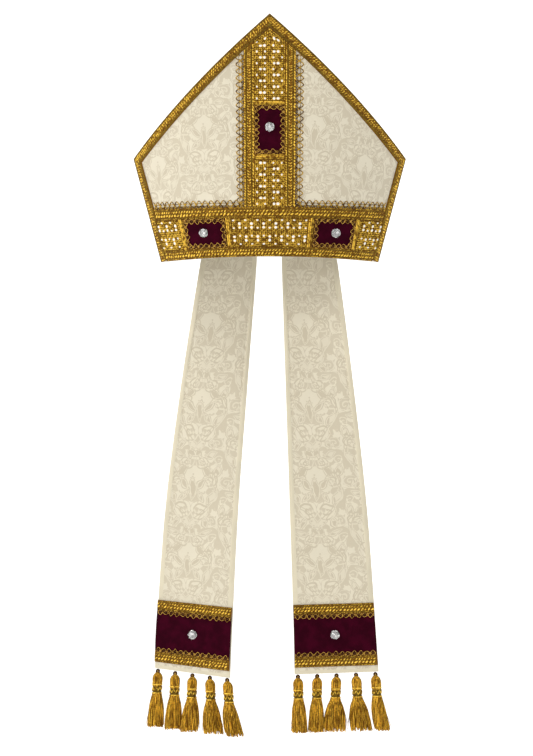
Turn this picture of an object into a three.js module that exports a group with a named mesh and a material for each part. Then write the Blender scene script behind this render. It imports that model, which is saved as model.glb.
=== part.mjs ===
// A bishop's mitre, open as it is worn, with its two lappets hanging behind.
//
// Millimetres, +Z up. The origin is the middle of the head opening, in the plane
// through the lower ends of the two side seams. The front faces -Y.

import * as THREE from 'three';

// --- Driving dimensions ------------------------------------------------------

const RIM_HALF_WIDTH = 126;
const SHOULDER_HALF_WIDTH = 158.6;
const SHOULDER_HEIGHT = 122;
const APEX_HEIGHT = 291;
const SLANT_BOW = 8.9; // how far a slanting edge bows out sideways
const RIM_ARCH = 6.8; // how far the rim rises at its middle
const ARCH_FADE = 130; // height at which the bands no longer follow that arch
const FACE_HALF_ANGLE = THREE.MathUtils.degToRad(55); // of each face's arc in plan
const RIM_DEPTH = 65.6; // from the side seams forward to the middle of a face
const DEPTH_LEAN = 0.056; // how fast a face leans outwards as it rises
const WALL = 3; // stiffened brocade
const GAP = 0.3; // between touching pieces

const BINDING_WIDTH = 11;
const BINDING_THICKNESS = 2.2;
const BRAID_THICKNESS = 1.6;
const LACE_THICKNESS = 1.2;
const VELVET_THICKNESS = 1.0;
const BAR_THICKNESS = 2.0;

const TITULUS_HALF_WIDTH = 29;
const TITULUS_LACE_HALF_WIDTH = 17.4;
const TITULUS_FOOT = 64.9;
const TITULUS_PIECES = [
  { name: 'lace_lower', from: 64.9, to: 120.2, kind: 'lace' },
  { name: 'bar_lower', from: 120.2, to: 126.9, kind: 'bar' },
  { name: 'velvet', from: 126.9, to: 184, kind: 'velvet' },
  { name: 'bar_upper', from: 184, to: 189.3, kind: 'bar' },
  { name: 'lace_upper', from: 189.3, to: null, kind: 'lace' }, // up to the binding
];

const CIRCULUS_BRAIDS = [
  { name: 'lower', from: 7, to: 18.3 },
  { name: 'upper', from: 52.3, to: 64.9 },
];
const CIRCULUS_MIDDLE = 35.3;
// Half widths of the pieces between the two braids, out from the middle.
const CIRCULUS_LACE_CENTRE = 43.5;
const CIRCULUS_SIDE_PIECES = [
  { name: 'bar_inner', from: 43.5, to: 50.5, kind: 'bar' },
  { name: 'velvet', from: 50.5, to: 98, kind: 'velvet' },
  { name: 'bar_outer', from: 98, to: 103.5, kind: 'bar' },
  { name: 'lace', from: 103.5, to: null, kind: 'lace' }, // out to the binding
];

const GUSSET_THICKNESS = 1.5;
const GUSSET_REACH = 0.95; // share of the face's arc that the gusset spans
const GUSSET_DROP = 4; // below the slanting edges
const GUSSET_RISE = 24; // of its crease at the middle, above the shoulders
const GUSSET_ROUNDING = 0.12; // of the crease, as a share of its half span

const LAPPET_THICKNESS = 3.2;
const LAPPET_TUCK = 12; // length held inside the back rim
const LAPPET_LENGTH = 487; // below the rim plane
const LAPPET_FREE_FROM = 5; // below this the cloth leaves the curve of the wall
const LAPPET_FREE_AT = 150; // and from here it hangs free
const LAPPET_BANDS = [
  { name: 'braid_upper', from: 405, to: 416.4, kind: 'braid' },
  { name: 'velvet', from: 416.4, to: 467, kind: 'velvet' },
  { name: 'braid_lower', from: 467, to: 479, kind: 'braid' },
];
const LAPPETS = {
  left: {
    side: -1,
    skew: 9.5, // how much lower the inner corner of the hem hangs than the outer
    // drop below the rim plane, outer and inner edge from the middle plane,
    // depth of the middle behind the side seams, turn of the outer edge backwards
    stations: [
      { drop: -12, outer: 79.6, inner: 14.9, depth: 52, turn: -16 },
      { drop: 4, outer: 82.6, inner: 15.6, depth: 51, turn: -12 },
      { drop: 147, outer: 105, inner: 26.6, depth: 47, turn: 10 },
      { drop: 290, outer: 123.2, inner: 37.4, depth: 46, turn: 20 },
      { drop: 432, outer: 133.9, inner: 44.6, depth: 46, turn: 25 },
      { drop: 487, outer: 136.3, inner: 46.9, depth: 46, turn: 26 },
    ],
    // sideways lean in degrees, largest half width of the skirt
    tassels: [
      { lean: -2.7, flare: 9.3 },
      { lean: -1.9, flare: 9.3 },
      { lean: -1.9, flare: 9.8 },
      { lean: 2.6, flare: 10.4 },
      { lean: 4.6, flare: 10.4 },
    ],
  },
  right: {
    side: 1,
    skew: 3.4,
    stations: [
      { drop: -12, outer: 77.6, inner: 14.2, depth: 52, turn: -16 },
      { drop: 4, outer: 80.7, inner: 14.4, depth: 51, turn: -12 },
      { drop: 147, outer: 99.3, inner: 19, depth: 47, turn: -6 },
      { drop: 290, outer: 115, inner: 23.8, depth: 46, turn: -2 },
      { drop: 432, outer: 125.5, inner: 28.3, depth: 46, turn: 0 },
      { drop: 487, outer: 129.2, inner: 29.4, depth: 46, turn: 0 },
    ],
    tassels: [
      { lean: 1.6, flare: 8.8 },
      { lean: -0.7, flare: 8.8 },
      { lean: -2.5, flare: 11.6 },
      { lean: 3.8, flare: 10.6 },
      { lean: 4.2, flare: 10.2 },
    ],
  },
};

const TASSEL_FIRST = 0.04; // share of the hem's width at the first tassel
const TASSEL_STEP = 0.23;
const TASSEL_LENGTH = 69;
const TASSEL_FLATTEN = 0.72; // depth of a skirt against its width
// Drop from the hem and radius; the skirt's radius grows from the neck to the flare.
const TASSEL_HEAD = [
  { drop: 0, radius: 2.2 },
  { drop: 4, radius: 2.4 },
  { drop: 6, radius: 4.6 },
  { drop: 10, radius: 5.6 },
  { drop: 18, radius: 5.4 },
  { drop: 21, radius: 5.0 },
  { drop: 27, radius: 5.2 },
];

const STONE_RADIUS = 5.1;
const STONE_HEIGHT = 2.6;
const STONE_FACETS = 8;
const SETTING_RADIUS = 6.3;
const SETTING_HEIGHT = 1.8;
const TITULUS_STONE_HEIGHT = 158.6;
const CIRCULUS_STONE_ACROSS = 76;
const CIRCULUS_STONE_HEIGHT = 36;
const LAPPET_STONE_DROP = 441.5;

const MATERIALS = {
  brocade: { color: 0xece2cb, roughness: 0.55, metalness: 0 },
  lining: { color: 0xe6dcc4, roughness: 0.8, metalness: 0 },
  braid: { color: 0xb08228, roughness: 0.45, metalness: 0.6 },
  lace: { color: 0xc9a347, roughness: 0.5, metalness: 0.5 },
  bar: { color: 0xa87822, roughness: 0.45, metalness: 0.6 },
  velvet: { color: 0x3c0019, roughness: 0.9, metalness: 0 },
  tassel: { color: 0xb08a26, roughness: 0.5, metalness: 0.4 },
  stone: { color: 0xdfe6ea, roughness: 0.05, metalness: 0 },
  setting: { color: 0xc9ccd0, roughness: 0.25, metalness: 1 },
};

// --- Building blocks -----------------------------------------------------------

function namedMesh(name, geometry, finish) {
  const mesh = new THREE.Mesh(geometry, new THREE.MeshStandardMaterial(MATERIALS[finish]));
  mesh.name = name;
  return mesh;
}

// A closed block whose points are moved by place(u, v, w), each from 0 to 1.
function shapedBlock(columns, rows, place) {
  const geometry = new THREE.BoxGeometry(1, 1, 1, columns, rows, 1);
  const points = geometry.attributes.position;
  for (let i = 0; i < points.count; i += 1) {
    const u = points.getX(i) + 0.5;
    const v = points.getY(i) + 0.5;
    const w = points.getZ(i) + 0.5;
    const at = place(u, v, w);
    points.setXYZ(i, at.x, at.y, at.z);
  }
  geometry.computeVertexNormals();
  return geometry;
}

// A sheet given by its middle surface, thickened both ways along its normal.
function thickSheet(columns, rows, thickness, middle) {
  const step = 1e-3;
  return shapedBlock(columns, rows, (u, v, w) => {
    const at = middle(u, v);
    const along = middle(u + step, v).sub(middle(u - step, v));
    const up = middle(u, v + step).sub(middle(u, v - step));
    const normal = along.cross(up).normalize();
    return at.addScaledVector(normal, (w - 0.5) * thickness);
  });
}

function smoothstep(from, to, value) {
  return THREE.MathUtils.smoothstep(value, from, to);
}

// --- The curved face -------------------------------------------------------------

// s runs from -1 to 1 round the face, from one side seam to the other.
function faceHalfWidth(z) {
  const flare = (SHOULDER_HALF_WIDTH - RIM_HALF_WIDTH) / SHOULDER_HEIGHT;
  return RIM_HALF_WIDTH + flare * z;
}

function faceDepth(z) {
  return RIM_DEPTH + DEPTH_LEAN * z;
}

function facePoint(s, z, offset) {
  const angle = s * FACE_HALF_ANGLE;
  const halfWidth = faceHalfWidth(z) + offset / Math.sin(FACE_HALF_ANGLE);
  const bulge = (Math.cos(angle) - Math.cos(FACE_HALF_ANGLE)) / (1 - Math.cos(FACE_HALF_ANGLE));
  return new THREE.Vector3(
    (halfWidth * Math.sin(angle)) / Math.sin(FACE_HALF_ANGLE),
    -(GAP / 2 + (faceDepth(z) + offset) * bulge),
    z,
  );
}

// s of the point that is x from the middle plane at height z.
function faceShare(x, z) {
  const sine = (x / faceHalfWidth(z)) * Math.sin(FACE_HALF_ANGLE);
  return Math.asin(THREE.MathUtils.clamp(sine, -1, 1)) / FACE_HALF_ANGLE;
}

function faceHalfArc(z) {
  const steps = 24;
  let length = 0;
  for (let i = 0; i < steps; i += 1) {
    length += facePoint((i + 1) / steps, z, 0).distanceTo(facePoint(i / steps, z, 0));
  }
  return length;
}

// Height at s of a band whose height at the middle is h: bands follow the rim's arch.
function bandHeight(s, h) {
  const across = Math.sin(s * FACE_HALF_ANGLE) / Math.sin(FACE_HALF_ANGLE);
  const arch = RIM_ARCH * Math.max(0, 1 - h / ARCH_FADE);
  return h - arch * across * across;
}

function slantHalfWidth(z) {
  const t = (z - SHOULDER_HEIGHT) / (APEX_HEIGHT - SHOULDER_HEIGHT);
  return SHOULDER_HALF_WIDTH * (1 - t) + SLANT_BOW * 4 * t * (1 - t);
}

// Height of the slanting edge above the point s, found by halving.
function slantHeight(s) {
  let low = SHOULDER_HEIGHT;
  let high = APEX_HEIGHT;
  for (let i = 0; i < 40; i += 1) {
    const middle = (low + high) / 2;
    const inside = Math.abs(facePoint(s, middle, 0).x) < slantHalfWidth(middle);
    if (inside) {
      low = middle;
    } else {
      high = middle;
    }
  }
  return (low + high) / 2;
}

// Height of the binding's inner edge above the point s.
function bindingFoot(s) {
  const step = 0.01;
  const near = Math.abs(s) + step;
  const rise = slantHeight(near - step) - slantHeight(near + step);
  const run = 2 * step * faceHalfArc(slantHeight(near));
  return slantHeight(s) - BINDING_WIDTH * Math.hypot(1, rise / run);
}

function faceMesh(name, finish, columns, rows, offset, thickness, spot) {
  const geometry = shapedBlock(columns, rows, (u, v, w) => {
    const { s, z } = spot(u, v);
    return facePoint(s, z, offset + w * thickness);
  });
  return namedMesh(name, geometry, finish);
}

function panel(name) {
  return faceMesh(name, 'brocade', 28, 7, -WALL, WALL, (u, v) => {
    const s = 2 * u - 1;
    const foot = bandHeight(s, RIM_ARCH);
    return { s, z: THREE.MathUtils.lerp(foot, slantHeight(s), v) };
  });
}

// A trim between two shares of the arc and two heights at the middle of the face.
function bandTrim(name, kind, thickness, columns, left, right, from, to) {
  return faceMesh(name, kind, columns, 1, GAP, thickness, (u, v) => {
    const h = THREE.MathUtils.lerp(from + GAP / 2, to - GAP / 2, v);
    const s = THREE.MathUtils.lerp(left(h), right(h), u);
    return { s, z: bandHeight(s, h) };
  });
}

// s of the binding's inner edge beside a side seam.
function bindingShare(z) {
  const lean = (faceHalfArc(SHOULDER_HEIGHT) - faceHalfArc(0)) / SHOULDER_HEIGHT;
  return 1 - (BINDING_WIDTH * Math.hypot(1, lean) + 2 * GAP) / faceHalfArc(z);
}

// --- Binding ---------------------------------------------------------------------

// The edge of a face in its unrolled plane, from the middle of the apex down to the rim.
function unrolledEdge() {
  const slantSteps = 12;
  const sideSteps = 3;
  const edge = [];
  for (let i = 0; i <= slantSteps; i += 1) {
    const s = i / slantSteps;
    const z = slantHeight(s);
    edge.push(new THREE.Vector2(s * faceHalfArc(z), z));
  }
  for (let i = 1; i <= sideSteps; i += 1) {
    const z = SHOULDER_HEIGHT * (1 - i / sideSteps);
    edge.push(new THREE.Vector2(faceHalfArc(z), z));
  }
  return edge;
}

// The same edge moved inwards by a width, mitred where it turns.
function insetEdge(edge, width) {
  return edge.map((point, i) => {
    const before = i > 0 ? edge[i - 1] : new THREE.Vector2(-edge[1].x, edge[1].y);
    const after = i < edge.length - 1 ? edge[i + 1] : point.clone().multiplyScalar(2).sub(before);
    const first = point.clone().sub(before).normalize();
    const second = after.clone().sub(point).normalize();
    const normals = new THREE.Vector2(first.y + second.y, -first.x - second.x);
    const spread = 1 + first.dot(second);
    return point.clone().addScaledVector(normals, width / spread);
  });
}

function binding(name) {
  const outer = unrolledEdge();
  const inner = insetEdge(outer, BINDING_WIDTH);
  const legs = outer.length - 1;
  return faceMesh(name, 'braid', 2 * legs, 1, GAP, BINDING_THICKNESS, (u, v) => {
    const place = Math.round(u * 2 * legs) - legs;
    const row = Math.abs(place);
    const spot = inner[row].clone().lerp(outer[row], v);
    return { s: (Math.sign(place) * spot.x) / faceHalfArc(spot.y), z: spot.y };
  });
}

// --- Bands of a face ----------------------------------------------------------------

const THICKNESS = {
  braid: BRAID_THICKNESS,
  bar: BAR_THICKNESS,
  lace: LACE_THICKNESS,
  velvet: VELVET_THICKNESS,
};

// One upright strip of the titulus between two distances from the middle plane.
function titulusStrip(name, kind, columns, left, right, from, to) {
  return faceMesh(name, kind, columns, to === null ? 5 : 3, GAP, THICKNESS[kind], (u, v) => {
    const x = THREE.MathUtils.lerp(left + GAP / 2, right - GAP / 2, u);
    const top = to === null ? bindingFoot(faceShare(x, 255)) - 3 * GAP : to - GAP / 2;
    const z = THREE.MathUtils.lerp(from + GAP / 2, top, v);
    return { s: faceShare(x, z), z };
  });
}

function titulusBraids(prefix) {
  const inner = TITULUS_LACE_HALF_WIDTH;
  const outer = TITULUS_HALF_WIDTH;
  return [
    titulusStrip(`${prefix}braid_left`, 'braid', 1, -outer, -inner, TITULUS_FOOT, null),
    titulusStrip(`${prefix}braid_right`, 'braid', 1, inner, outer, TITULUS_FOOT, null),
  ];
}

function circulusBraids(prefix) {
  return CIRCULUS_BRAIDS.map(({ name, from, to }) => bandTrim(
    `${prefix}braid_${name}`, 'braid', BRAID_THICKNESS, 24,
    (h) => -bindingShare(h), (h) => bindingShare(h), from, to,
  ));
}

function circulusPiece(name, kind, left, right) {
  const [lower, upper] = CIRCULUS_BRAIDS;
  const columns = kind === 'bar' ? 1 : 6;
  return bandTrim(name, kind, THICKNESS[kind], columns, left, right, lower.to, upper.from);
}

function circulusMiddlePieces() {
  const halfGap = GAP / 2;
  const share = (x) => faceShare(x, CIRCULUS_MIDDLE);
  const centre = CIRCULUS_LACE_CENTRE - halfGap;
  const pieces = [
    circulusPiece('circulus_lace_centre', 'lace', () => share(-centre), () => share(centre)),
  ];
  for (const { name, from, to, kind } of CIRCULUS_SIDE_PIECES) {
    const near = () => share(from + halfGap);
    const far = (h) => (to === null ? bindingShare(h) : share(to - halfGap));
    const [noun, place] = name.split('_');
    const ending = place === undefined ? '' : `_${place}`;
    pieces.push(circulusPiece(`circulus_${noun}_right${ending}`, kind, near, far));
    pieces.push(circulusPiece(
      `circulus_${noun}_left${ending}`, kind, (h) => -far(h), () => -near(),
    ));
  }
  return pieces;
}

function backBands() {
  const [lower, upper] = CIRCULUS_BRAIDS;
  return [
    ...titulusBraids('back_titulus_'),
    titulusStrip('back_titulus_lace', 'lace', 4,
      -TITULUS_LACE_HALF_WIDTH, TITULUS_LACE_HALF_WIDTH, TITULUS_FOOT, null),
    ...circulusBraids('back_circulus_'),
    bandTrim('back_circulus_lace', 'lace', LACE_THICKNESS, 24,
      (h) => -bindingShare(h), (h) => bindingShare(h), lower.to, upper.from),
  ];
}

// --- Stones ---------------------------------------------------------------------------

// A cut stone and the cup that holds it, both turned about +Z and standing on z = 0.
function stoneGeometry() {
  const profile = [
    new THREE.Vector2(0, SETTING_HEIGHT / 2),
    new THREE.Vector2(STONE_RADIUS, SETTING_HEIGHT / 2),
    new THREE.Vector2(STONE_RADIUS, SETTING_HEIGHT),
    new THREE.Vector2(STONE_RADIUS * 0.6, SETTING_HEIGHT + STONE_HEIGHT * 0.75),
    new THREE.Vector2(0, SETTING_HEIGHT + STONE_HEIGHT),
  ];
  return turned(profile, STONE_FACETS);
}

function settingGeometry() {
  const seat = SETTING_HEIGHT / 2 - GAP;
  const bore = STONE_RADIUS + GAP;
  const profile = [
    new THREE.Vector2(0, 0),
    new THREE.Vector2(SETTING_RADIUS, 0),
    new THREE.Vector2(SETTING_RADIUS, SETTING_HEIGHT - GAP),
    new THREE.Vector2(bore + GAP, SETTING_HEIGHT),
    new THREE.Vector2(bore, SETTING_HEIGHT),
    new THREE.Vector2(bore, seat),
    new THREE.Vector2(0, seat),
  ];
  return turned(profile, 2 * STONE_FACETS);
}

// A profile of radius and height turned about +Z.
function turned(profile, segments) {
  const geometry = new THREE.LatheGeometry(profile, segments);
  return geometry.rotateX(Math.PI / 2);
}

function stonePair(name, at, normal) {
  const turn = new THREE.Quaternion().setFromUnitVectors(new THREE.Vector3(0, 0, 1), normal);
  const pair = [
    namedMesh(name, stoneGeometry(), 'stone'),
    namedMesh(`${name}_setting`, settingGeometry(), 'setting'),
  ];
  for (const mesh of pair) {
    mesh.position.copy(at);
    mesh.quaternion.copy(turn);
  }
  return pair;
}

function faceStone(name, x, h) {
  const clearance = SETTING_RADIUS * SETTING_RADIUS / (2 * RIM_HALF_WIDTH);
  const offset = GAP + VELVET_THICKNESS + GAP + clearance;
  const z = bandHeight(faceShare(x, h), h);
  const s = faceShare(x, z);
  const step = 0.01;
  const along = facePoint(s + step, z, 0).sub(facePoint(s - step, z, 0));
  const up = facePoint(s, z + 1, 0).sub(facePoint(s, z - 1, 0));
  return stonePair(name, facePoint(s, z, offset), along.cross(up).normalize());
}

// --- Gusset ---------------------------------------------------------------------------

function gusset() {
  const inset = WALL + GAP + GUSSET_THICKNESS / 2 + 0.1;
  const roundTop = Math.hypot(1, GUSSET_ROUNDING) - GUSSET_ROUNDING;
  const geometry = thickSheet(28, 10, GUSSET_THICKNESS, (u, v) => {
    const s = GUSSET_REACH * (2 * u - 1);
    const across = 2 * v - 1; // -1 at the front edge, 0 at the crease, 1 at the back
    const top = slantHeight(s) - GUSSET_DROP;
    const hem = facePoint(s, top, -inset);
    const crease = SHOULDER_HEIGHT - 2 + GUSSET_RISE * Math.cos((s * Math.PI) / 2) ** 2;
    const climb = (Math.hypot(across, GUSSET_ROUNDING) - GUSSET_ROUNDING) / roundTop;
    return new THREE.Vector3(
      hem.x,
      -hem.y * across,
      THREE.MathUtils.lerp(crease, top, climb),
    );
  });
  return namedMesh('gusset', geometry, 'lining');
}

// --- Lappets -----------------------------------------------------------------------------

// One column of the stations at a drop, on a smooth curve through them.
function stationValue(stations, column, drop) {
  const last = stations.length - 1;
  let leg = 0;
  while (leg < last - 1 && drop > stations[leg + 1].drop) {
    leg += 1;
  }
  const slope = (i) => {
    const a = stations[Math.max(i - 1, 0)];
    const b = stations[Math.min(i + 1, last)];
    return (b[column] - a[column]) / (b.drop - a.drop);
  };
  const from = stations[leg];
  const to = stations[leg + 1];
  const span = to.drop - from.drop;
  const t = (drop - from.drop) / span;
  return (
    from[column] * (1 + 2 * t) * (1 - t) ** 2
    + slope(leg) * span * t * (1 - t) ** 2
    + to[column] * t * t * (3 - 2 * t)
    - slope(leg + 1) * span * t * t * (1 - t)
  );
}

// Depth of the back wall's inner side behind the side seams.
function wallDepth(x, z, inset) {
  const halfWidth = faceHalfWidth(z) - inset / Math.sin(FACE_HALF_ANGLE);
  const sine = Math.min(x / halfWidth, 1) * Math.sin(FACE_HALF_ANGLE);
  const cosine = Math.sqrt(1 - sine * sine);
  const bulge = (cosine - Math.cos(FACE_HALF_ANGLE)) / (1 - Math.cos(FACE_HALF_ANGLE));
  return GAP / 2 + (faceDepth(z) - inset) * bulge;
}

// Middle surface of a lappet: share 0 at its left edge, 1 at its right edge.
function lappetPoint(lappet, share, drop) {
  const { side, skew, stations } = lappet;
  const value = (column) => stationValue(stations, column, drop);
  const towardsOuter = side < 0 ? 1 - share : share;
  const across = THREE.MathUtils.lerp(value('inner'), value('outer'), towardsOuter);
  const middle = (value('inner') + value('outer')) / 2;
  const z = -drop + skew * (towardsOuter - 0.5) * Math.max(0, drop / LAPPET_LENGTH);
  const inset = WALL + GAP + LAPPET_THICKNESS / 2 + 0.1;
  const held = wallDepth(across, Math.max(z, -LAPPET_TUCK), inset);
  const turn = Math.tan(THREE.MathUtils.degToRad(value('turn')));
  const free = value('depth') + (across - middle) * turn;
  const freedom = smoothstep(LAPPET_FREE_FROM, LAPPET_FREE_AT, drop);
  return new THREE.Vector3(side * across, THREE.MathUtils.lerp(held, free, freedom), z);
}

function lappetNormal(lappet, share, drop) {
  const step = 0.01;
  const along = lappetPoint(lappet, share + step, drop).sub(lappetPoint(lappet, share - step, drop));
  const up = lappetPoint(lappet, share, drop - 1).sub(lappetPoint(lappet, share, drop + 1));
  return along.cross(up).normalize();
}

function lappetCloth(name, lappet) {
  const geometry = thickSheet(6, 18, LAPPET_THICKNESS, (u, v) => (
    lappetPoint(lappet, u, THREE.MathUtils.lerp(LAPPET_LENGTH, -LAPPET_TUCK, v))
  ));
  return namedMesh(name, geometry, 'brocade');
}

function lappetBand(name, lappet, { from, to, kind }) {
  const front = LAPPET_THICKNESS / 2 + GAP;
  const rows = kind === 'velvet' ? 3 : 1;
  const geometry = shapedBlock(6, rows, (u, v, w) => {
    const drop = THREE.MathUtils.lerp(to - GAP / 2, from + GAP / 2, v);
    const normal = lappetNormal(lappet, u, drop);
    return lappetPoint(lappet, u, drop).addScaledVector(normal, front + w * THICKNESS[kind]);
  });
  return namedMesh(name, geometry, kind);
}

// A tassel hanging from z = 0, as the outer form of its knot, head and skirt.
function tasselGeometry(flare) {
  const neck = TASSEL_HEAD[TASSEL_HEAD.length - 1];
  const skirt = [0.25, 0.6, 1].map((t) => ({
    drop: THREE.MathUtils.lerp(neck.drop, TASSEL_LENGTH, t),
    radius: THREE.MathUtils.lerp(neck.radius, flare, t ** 0.8),
  }));
  const rings = [...TASSEL_HEAD, ...skirt];
  const profile = [
    new THREE.Vector2(0, -TASSEL_LENGTH),
    ...rings.reverse().map(({ drop, radius }) => new THREE.Vector2(radius, -drop)),
    new THREE.Vector2(0, 0),
  ];
  const geometry = turned(profile, 8);
  return geometry.scale(1, TASSEL_FLATTEN, 1);
}

function lappetTassels(label, lappet) {
  return lappet.tassels.map(({ lean, flare }, i) => {
    const share = TASSEL_FIRST + TASSEL_STEP * i;
    const mesh = namedMesh(`tassel_${label}_${i + 1}`, tasselGeometry(flare), 'tassel');
    mesh.position.copy(lappetPoint(lappet, share, LAPPET_LENGTH));
    mesh.position.z -= 2 * GAP;
    mesh.rotation.y = -THREE.MathUtils.degToRad(lean);
    return mesh;
  });
}

function lappetParts(label, lappet) {
  const front = LAPPET_THICKNESS / 2 + GAP + VELVET_THICKNESS + GAP;
  const normal = lappetNormal(lappet, 0.5, LAPPET_STONE_DROP);
  const seat = lappetPoint(lappet, 0.5, LAPPET_STONE_DROP).addScaledVector(normal, front);
  return [
    lappetCloth(`lappet_${label}`, lappet),
    ...LAPPET_BANDS.map((band) => lappetBand(`lappet_${band.name}_${label}`, lappet, band)),
    ...stonePair(`lappet_stone_${label}`, seat, normal),
    ...lappetTassels(label, lappet),
  ];
}

// --- Assembly --------------------------------------------------------------------------

const front = new THREE.Group();
front.add(panel('front_panel'), binding('front_binding'));
front.add(...titulusBraids('titulus_'));
for (const { name, from, to, kind } of TITULUS_PIECES) {
  const half = TITULUS_LACE_HALF_WIDTH;
  front.add(titulusStrip(`titulus_${name}`, kind, 4, -half, half, from, to));
}
front.add(...circulusBraids('circulus_'), ...circulusMiddlePieces());
front.add(...faceStone('titulus_stone', 0, TITULUS_STONE_HEIGHT));
front.add(...faceStone('circulus_stone_left', -CIRCULUS_STONE_ACROSS, CIRCULUS_STONE_HEIGHT));
front.add(...faceStone('circulus_stone_right', CIRCULUS_STONE_ACROSS, CIRCULUS_STONE_HEIGHT));

const back = new THREE.Group();
back.rotation.z = Math.PI;
back.add(panel('back_panel'), binding('back_binding'), ...backBands());

const mitre = new THREE.Group();
mitre.add(front, back, gusset());
for (const [label, lappet] of Object.entries(LAPPETS)) {
  mitre.add(...lappetParts(label, lappet));
}

export default mitre;
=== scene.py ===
import math
import random

import bpy
import numpy as np
from mathutils import Matrix, Vector


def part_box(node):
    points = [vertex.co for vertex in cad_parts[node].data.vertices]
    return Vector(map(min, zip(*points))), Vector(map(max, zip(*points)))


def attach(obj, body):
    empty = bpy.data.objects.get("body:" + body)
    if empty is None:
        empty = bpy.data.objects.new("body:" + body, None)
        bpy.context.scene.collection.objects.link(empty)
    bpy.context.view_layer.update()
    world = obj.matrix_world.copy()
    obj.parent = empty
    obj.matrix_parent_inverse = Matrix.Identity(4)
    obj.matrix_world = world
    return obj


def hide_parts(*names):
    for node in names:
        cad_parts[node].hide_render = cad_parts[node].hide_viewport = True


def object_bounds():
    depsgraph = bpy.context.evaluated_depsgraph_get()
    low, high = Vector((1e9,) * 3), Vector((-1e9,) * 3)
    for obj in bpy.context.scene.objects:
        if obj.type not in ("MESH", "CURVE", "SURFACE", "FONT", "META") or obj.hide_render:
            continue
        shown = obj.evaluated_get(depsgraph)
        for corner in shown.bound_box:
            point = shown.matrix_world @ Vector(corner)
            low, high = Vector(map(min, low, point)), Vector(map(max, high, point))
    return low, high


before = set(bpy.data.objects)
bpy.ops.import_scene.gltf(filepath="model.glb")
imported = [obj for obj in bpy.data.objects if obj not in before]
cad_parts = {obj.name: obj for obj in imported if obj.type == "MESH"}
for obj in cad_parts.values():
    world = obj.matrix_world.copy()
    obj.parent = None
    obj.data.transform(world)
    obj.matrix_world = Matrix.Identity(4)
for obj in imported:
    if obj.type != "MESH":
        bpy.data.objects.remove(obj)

bl_info = {
    "name": "Bishop's Mitre",
    "version": (1, 0, 0),
    "blender": (4, 5, 0),
    "location": "View3D > Sidebar > Mitre",
    "description": "Builds a trimmed brocade mitre with its lappets and tassels on a packed frame",
    "category": "Add Mesh",
}

CAD_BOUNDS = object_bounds()
MM = 0.001  # shapes are worked out in millimetres and stored in metres

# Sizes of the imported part, in millimetres.
PANEL_LOW, PANEL_HIGH = (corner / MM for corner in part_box("front_panel"))
LAPPET_LENGTH, LAPPET_TUCK, LAPPET_THICKNESS = 487.0, 12.0, 3.2
LAPPET_TOP_WIDTH, LAPPET_HEM_WIDTH = 66.0, 99.0
# Width of the plain fold along its sides, and the drop where its plain hem starts.
LAPPET_FOLD, LAPPET_HEM = 5.0, 481.0
# The rolled edge and the groove beside it: height, share of the way out, width.
LAPPET_EDGE = ((0.9, 0.915, 0.045), (0.55, 0.84, 0.022))
WALL = 3.0
GAP = 0.3
SEAM = GAP / 2

# Heights of the bands round the rim, at the middle of a face.
RIM_ARCH = 6.8
ARCH_FADE = 130.0
BAND_FOOT, BAND_LOW, BAND_HIGH, BAND_TOP = 7.0, 18.3, 52.3, 64.9
BAND_MIDDLE = (BAND_LOW + BAND_HIGH) / 2
# Distances from the middle plane where the pieces between the two braids end.
CENTRE_LACE_END, VELVET_START, VELVET_END, SIDE_LACE_START = 43.5, 50.5, 98.0, 103.5
# Heights where the pieces of the upright band meet, and its half widths.
LOWER_BAR, VELVET_FOOT, VELVET_TOP, UPPER_BAR_TOP, TITULUS_TOP = 120.2, 126.9, 184.0, 189.3, 268.0
TITULUS_HALF, TITULUS_LACE_HALF = 29.0, 17.4
BINDING_WIDTH = 11.0

# Drops below the rim plane of the bands across a lappet.
LAPPET_BANDS = {"braid_upper": (405, 416.4), "velvet": (416.4, 467), "braid_lower": (467, 479)}

# drop: below the rim plane. outer, inner: edges, out from the middle plane.
# depth: of the middle behind the side seams. turn: of the outer edge backwards, degrees.
# Five tassels: lean in degrees, flare, the half width at the foot, and sway of the foot.
LAPPETS = {
    "left": {
        "side": -1, "skew": 9.5,
        "drop": (-12, 4, 147, 290, 432, 487),
        "outer": (79.6, 82.6, 105, 123.2, 133.9, 136.3),
        "inner": (14.9, 15.6, 26.6, 37.4, 44.6, 46.9),
        "depth": (52, 51, 47, 46, 46, 46),
        "turn": (-16, -12, 10, 20, 25, 26),
        "lean": (-2.7, -1.9, -1.9, 2.6, 4.6),
        "flare": (9.1, 9.6, 10.2, 11.0, 10.2),
        "sway": (0.0, -0.6, -2.2, 2.0, 4.2),
    },
    "right": {
        "side": 1, "skew": 3.4,
        "drop": (-12, 4, 147, 290, 432, 487),
        "outer": (77.6, 80.7, 99.3, 115, 125.5, 129.2),
        "inner": (14.2, 14.4, 19, 23.8, 28.3, 29.4),
        "depth": (52, 51, 47, 46, 46, 46),
        "turn": (-16, -12, -6, -2, 0, 0),
        "lean": (1.6, -0.7, -2.5, 3.8, 4.2),
        "flare": (8.3, 8.8, 12.7, 12.0, 8.6),
        "sway": (0.4, -0.6, 1.0, 2.2, 4.2),
    },
}
# Shares of a lappet's width at the first tassel and from each to the next.
TASSEL_FIRST, TASSEL_STEP = 0.04, 0.23
TASSEL_LENGTH, TASSEL_NECK, TASSEL_SKIRT_TOP = 69.0, 5.3, 28.5
# A tassel's radius down to its neck, and then the share of its flare that its skirt has.
TASSEL_HEAD = {
    "down": (0, 4, 5.5, 7.5, 11, 17, 20, 28, 31),
    "radius": (1.2, 1.4, 3.2, 4.7, 5.5, 5.2, 5.0, 4.9, 5.4),
}
TASSEL_SKIRT = {"down": (36, 45, 57, 69), "share": (0.38, 0.76, 0.99, 1.0)}
# Skirt strands in three layers: share of the radius, count.
TASSEL_LAYERS = ((1.0, 62), (0.86, 50), (0.66, 34))

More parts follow.
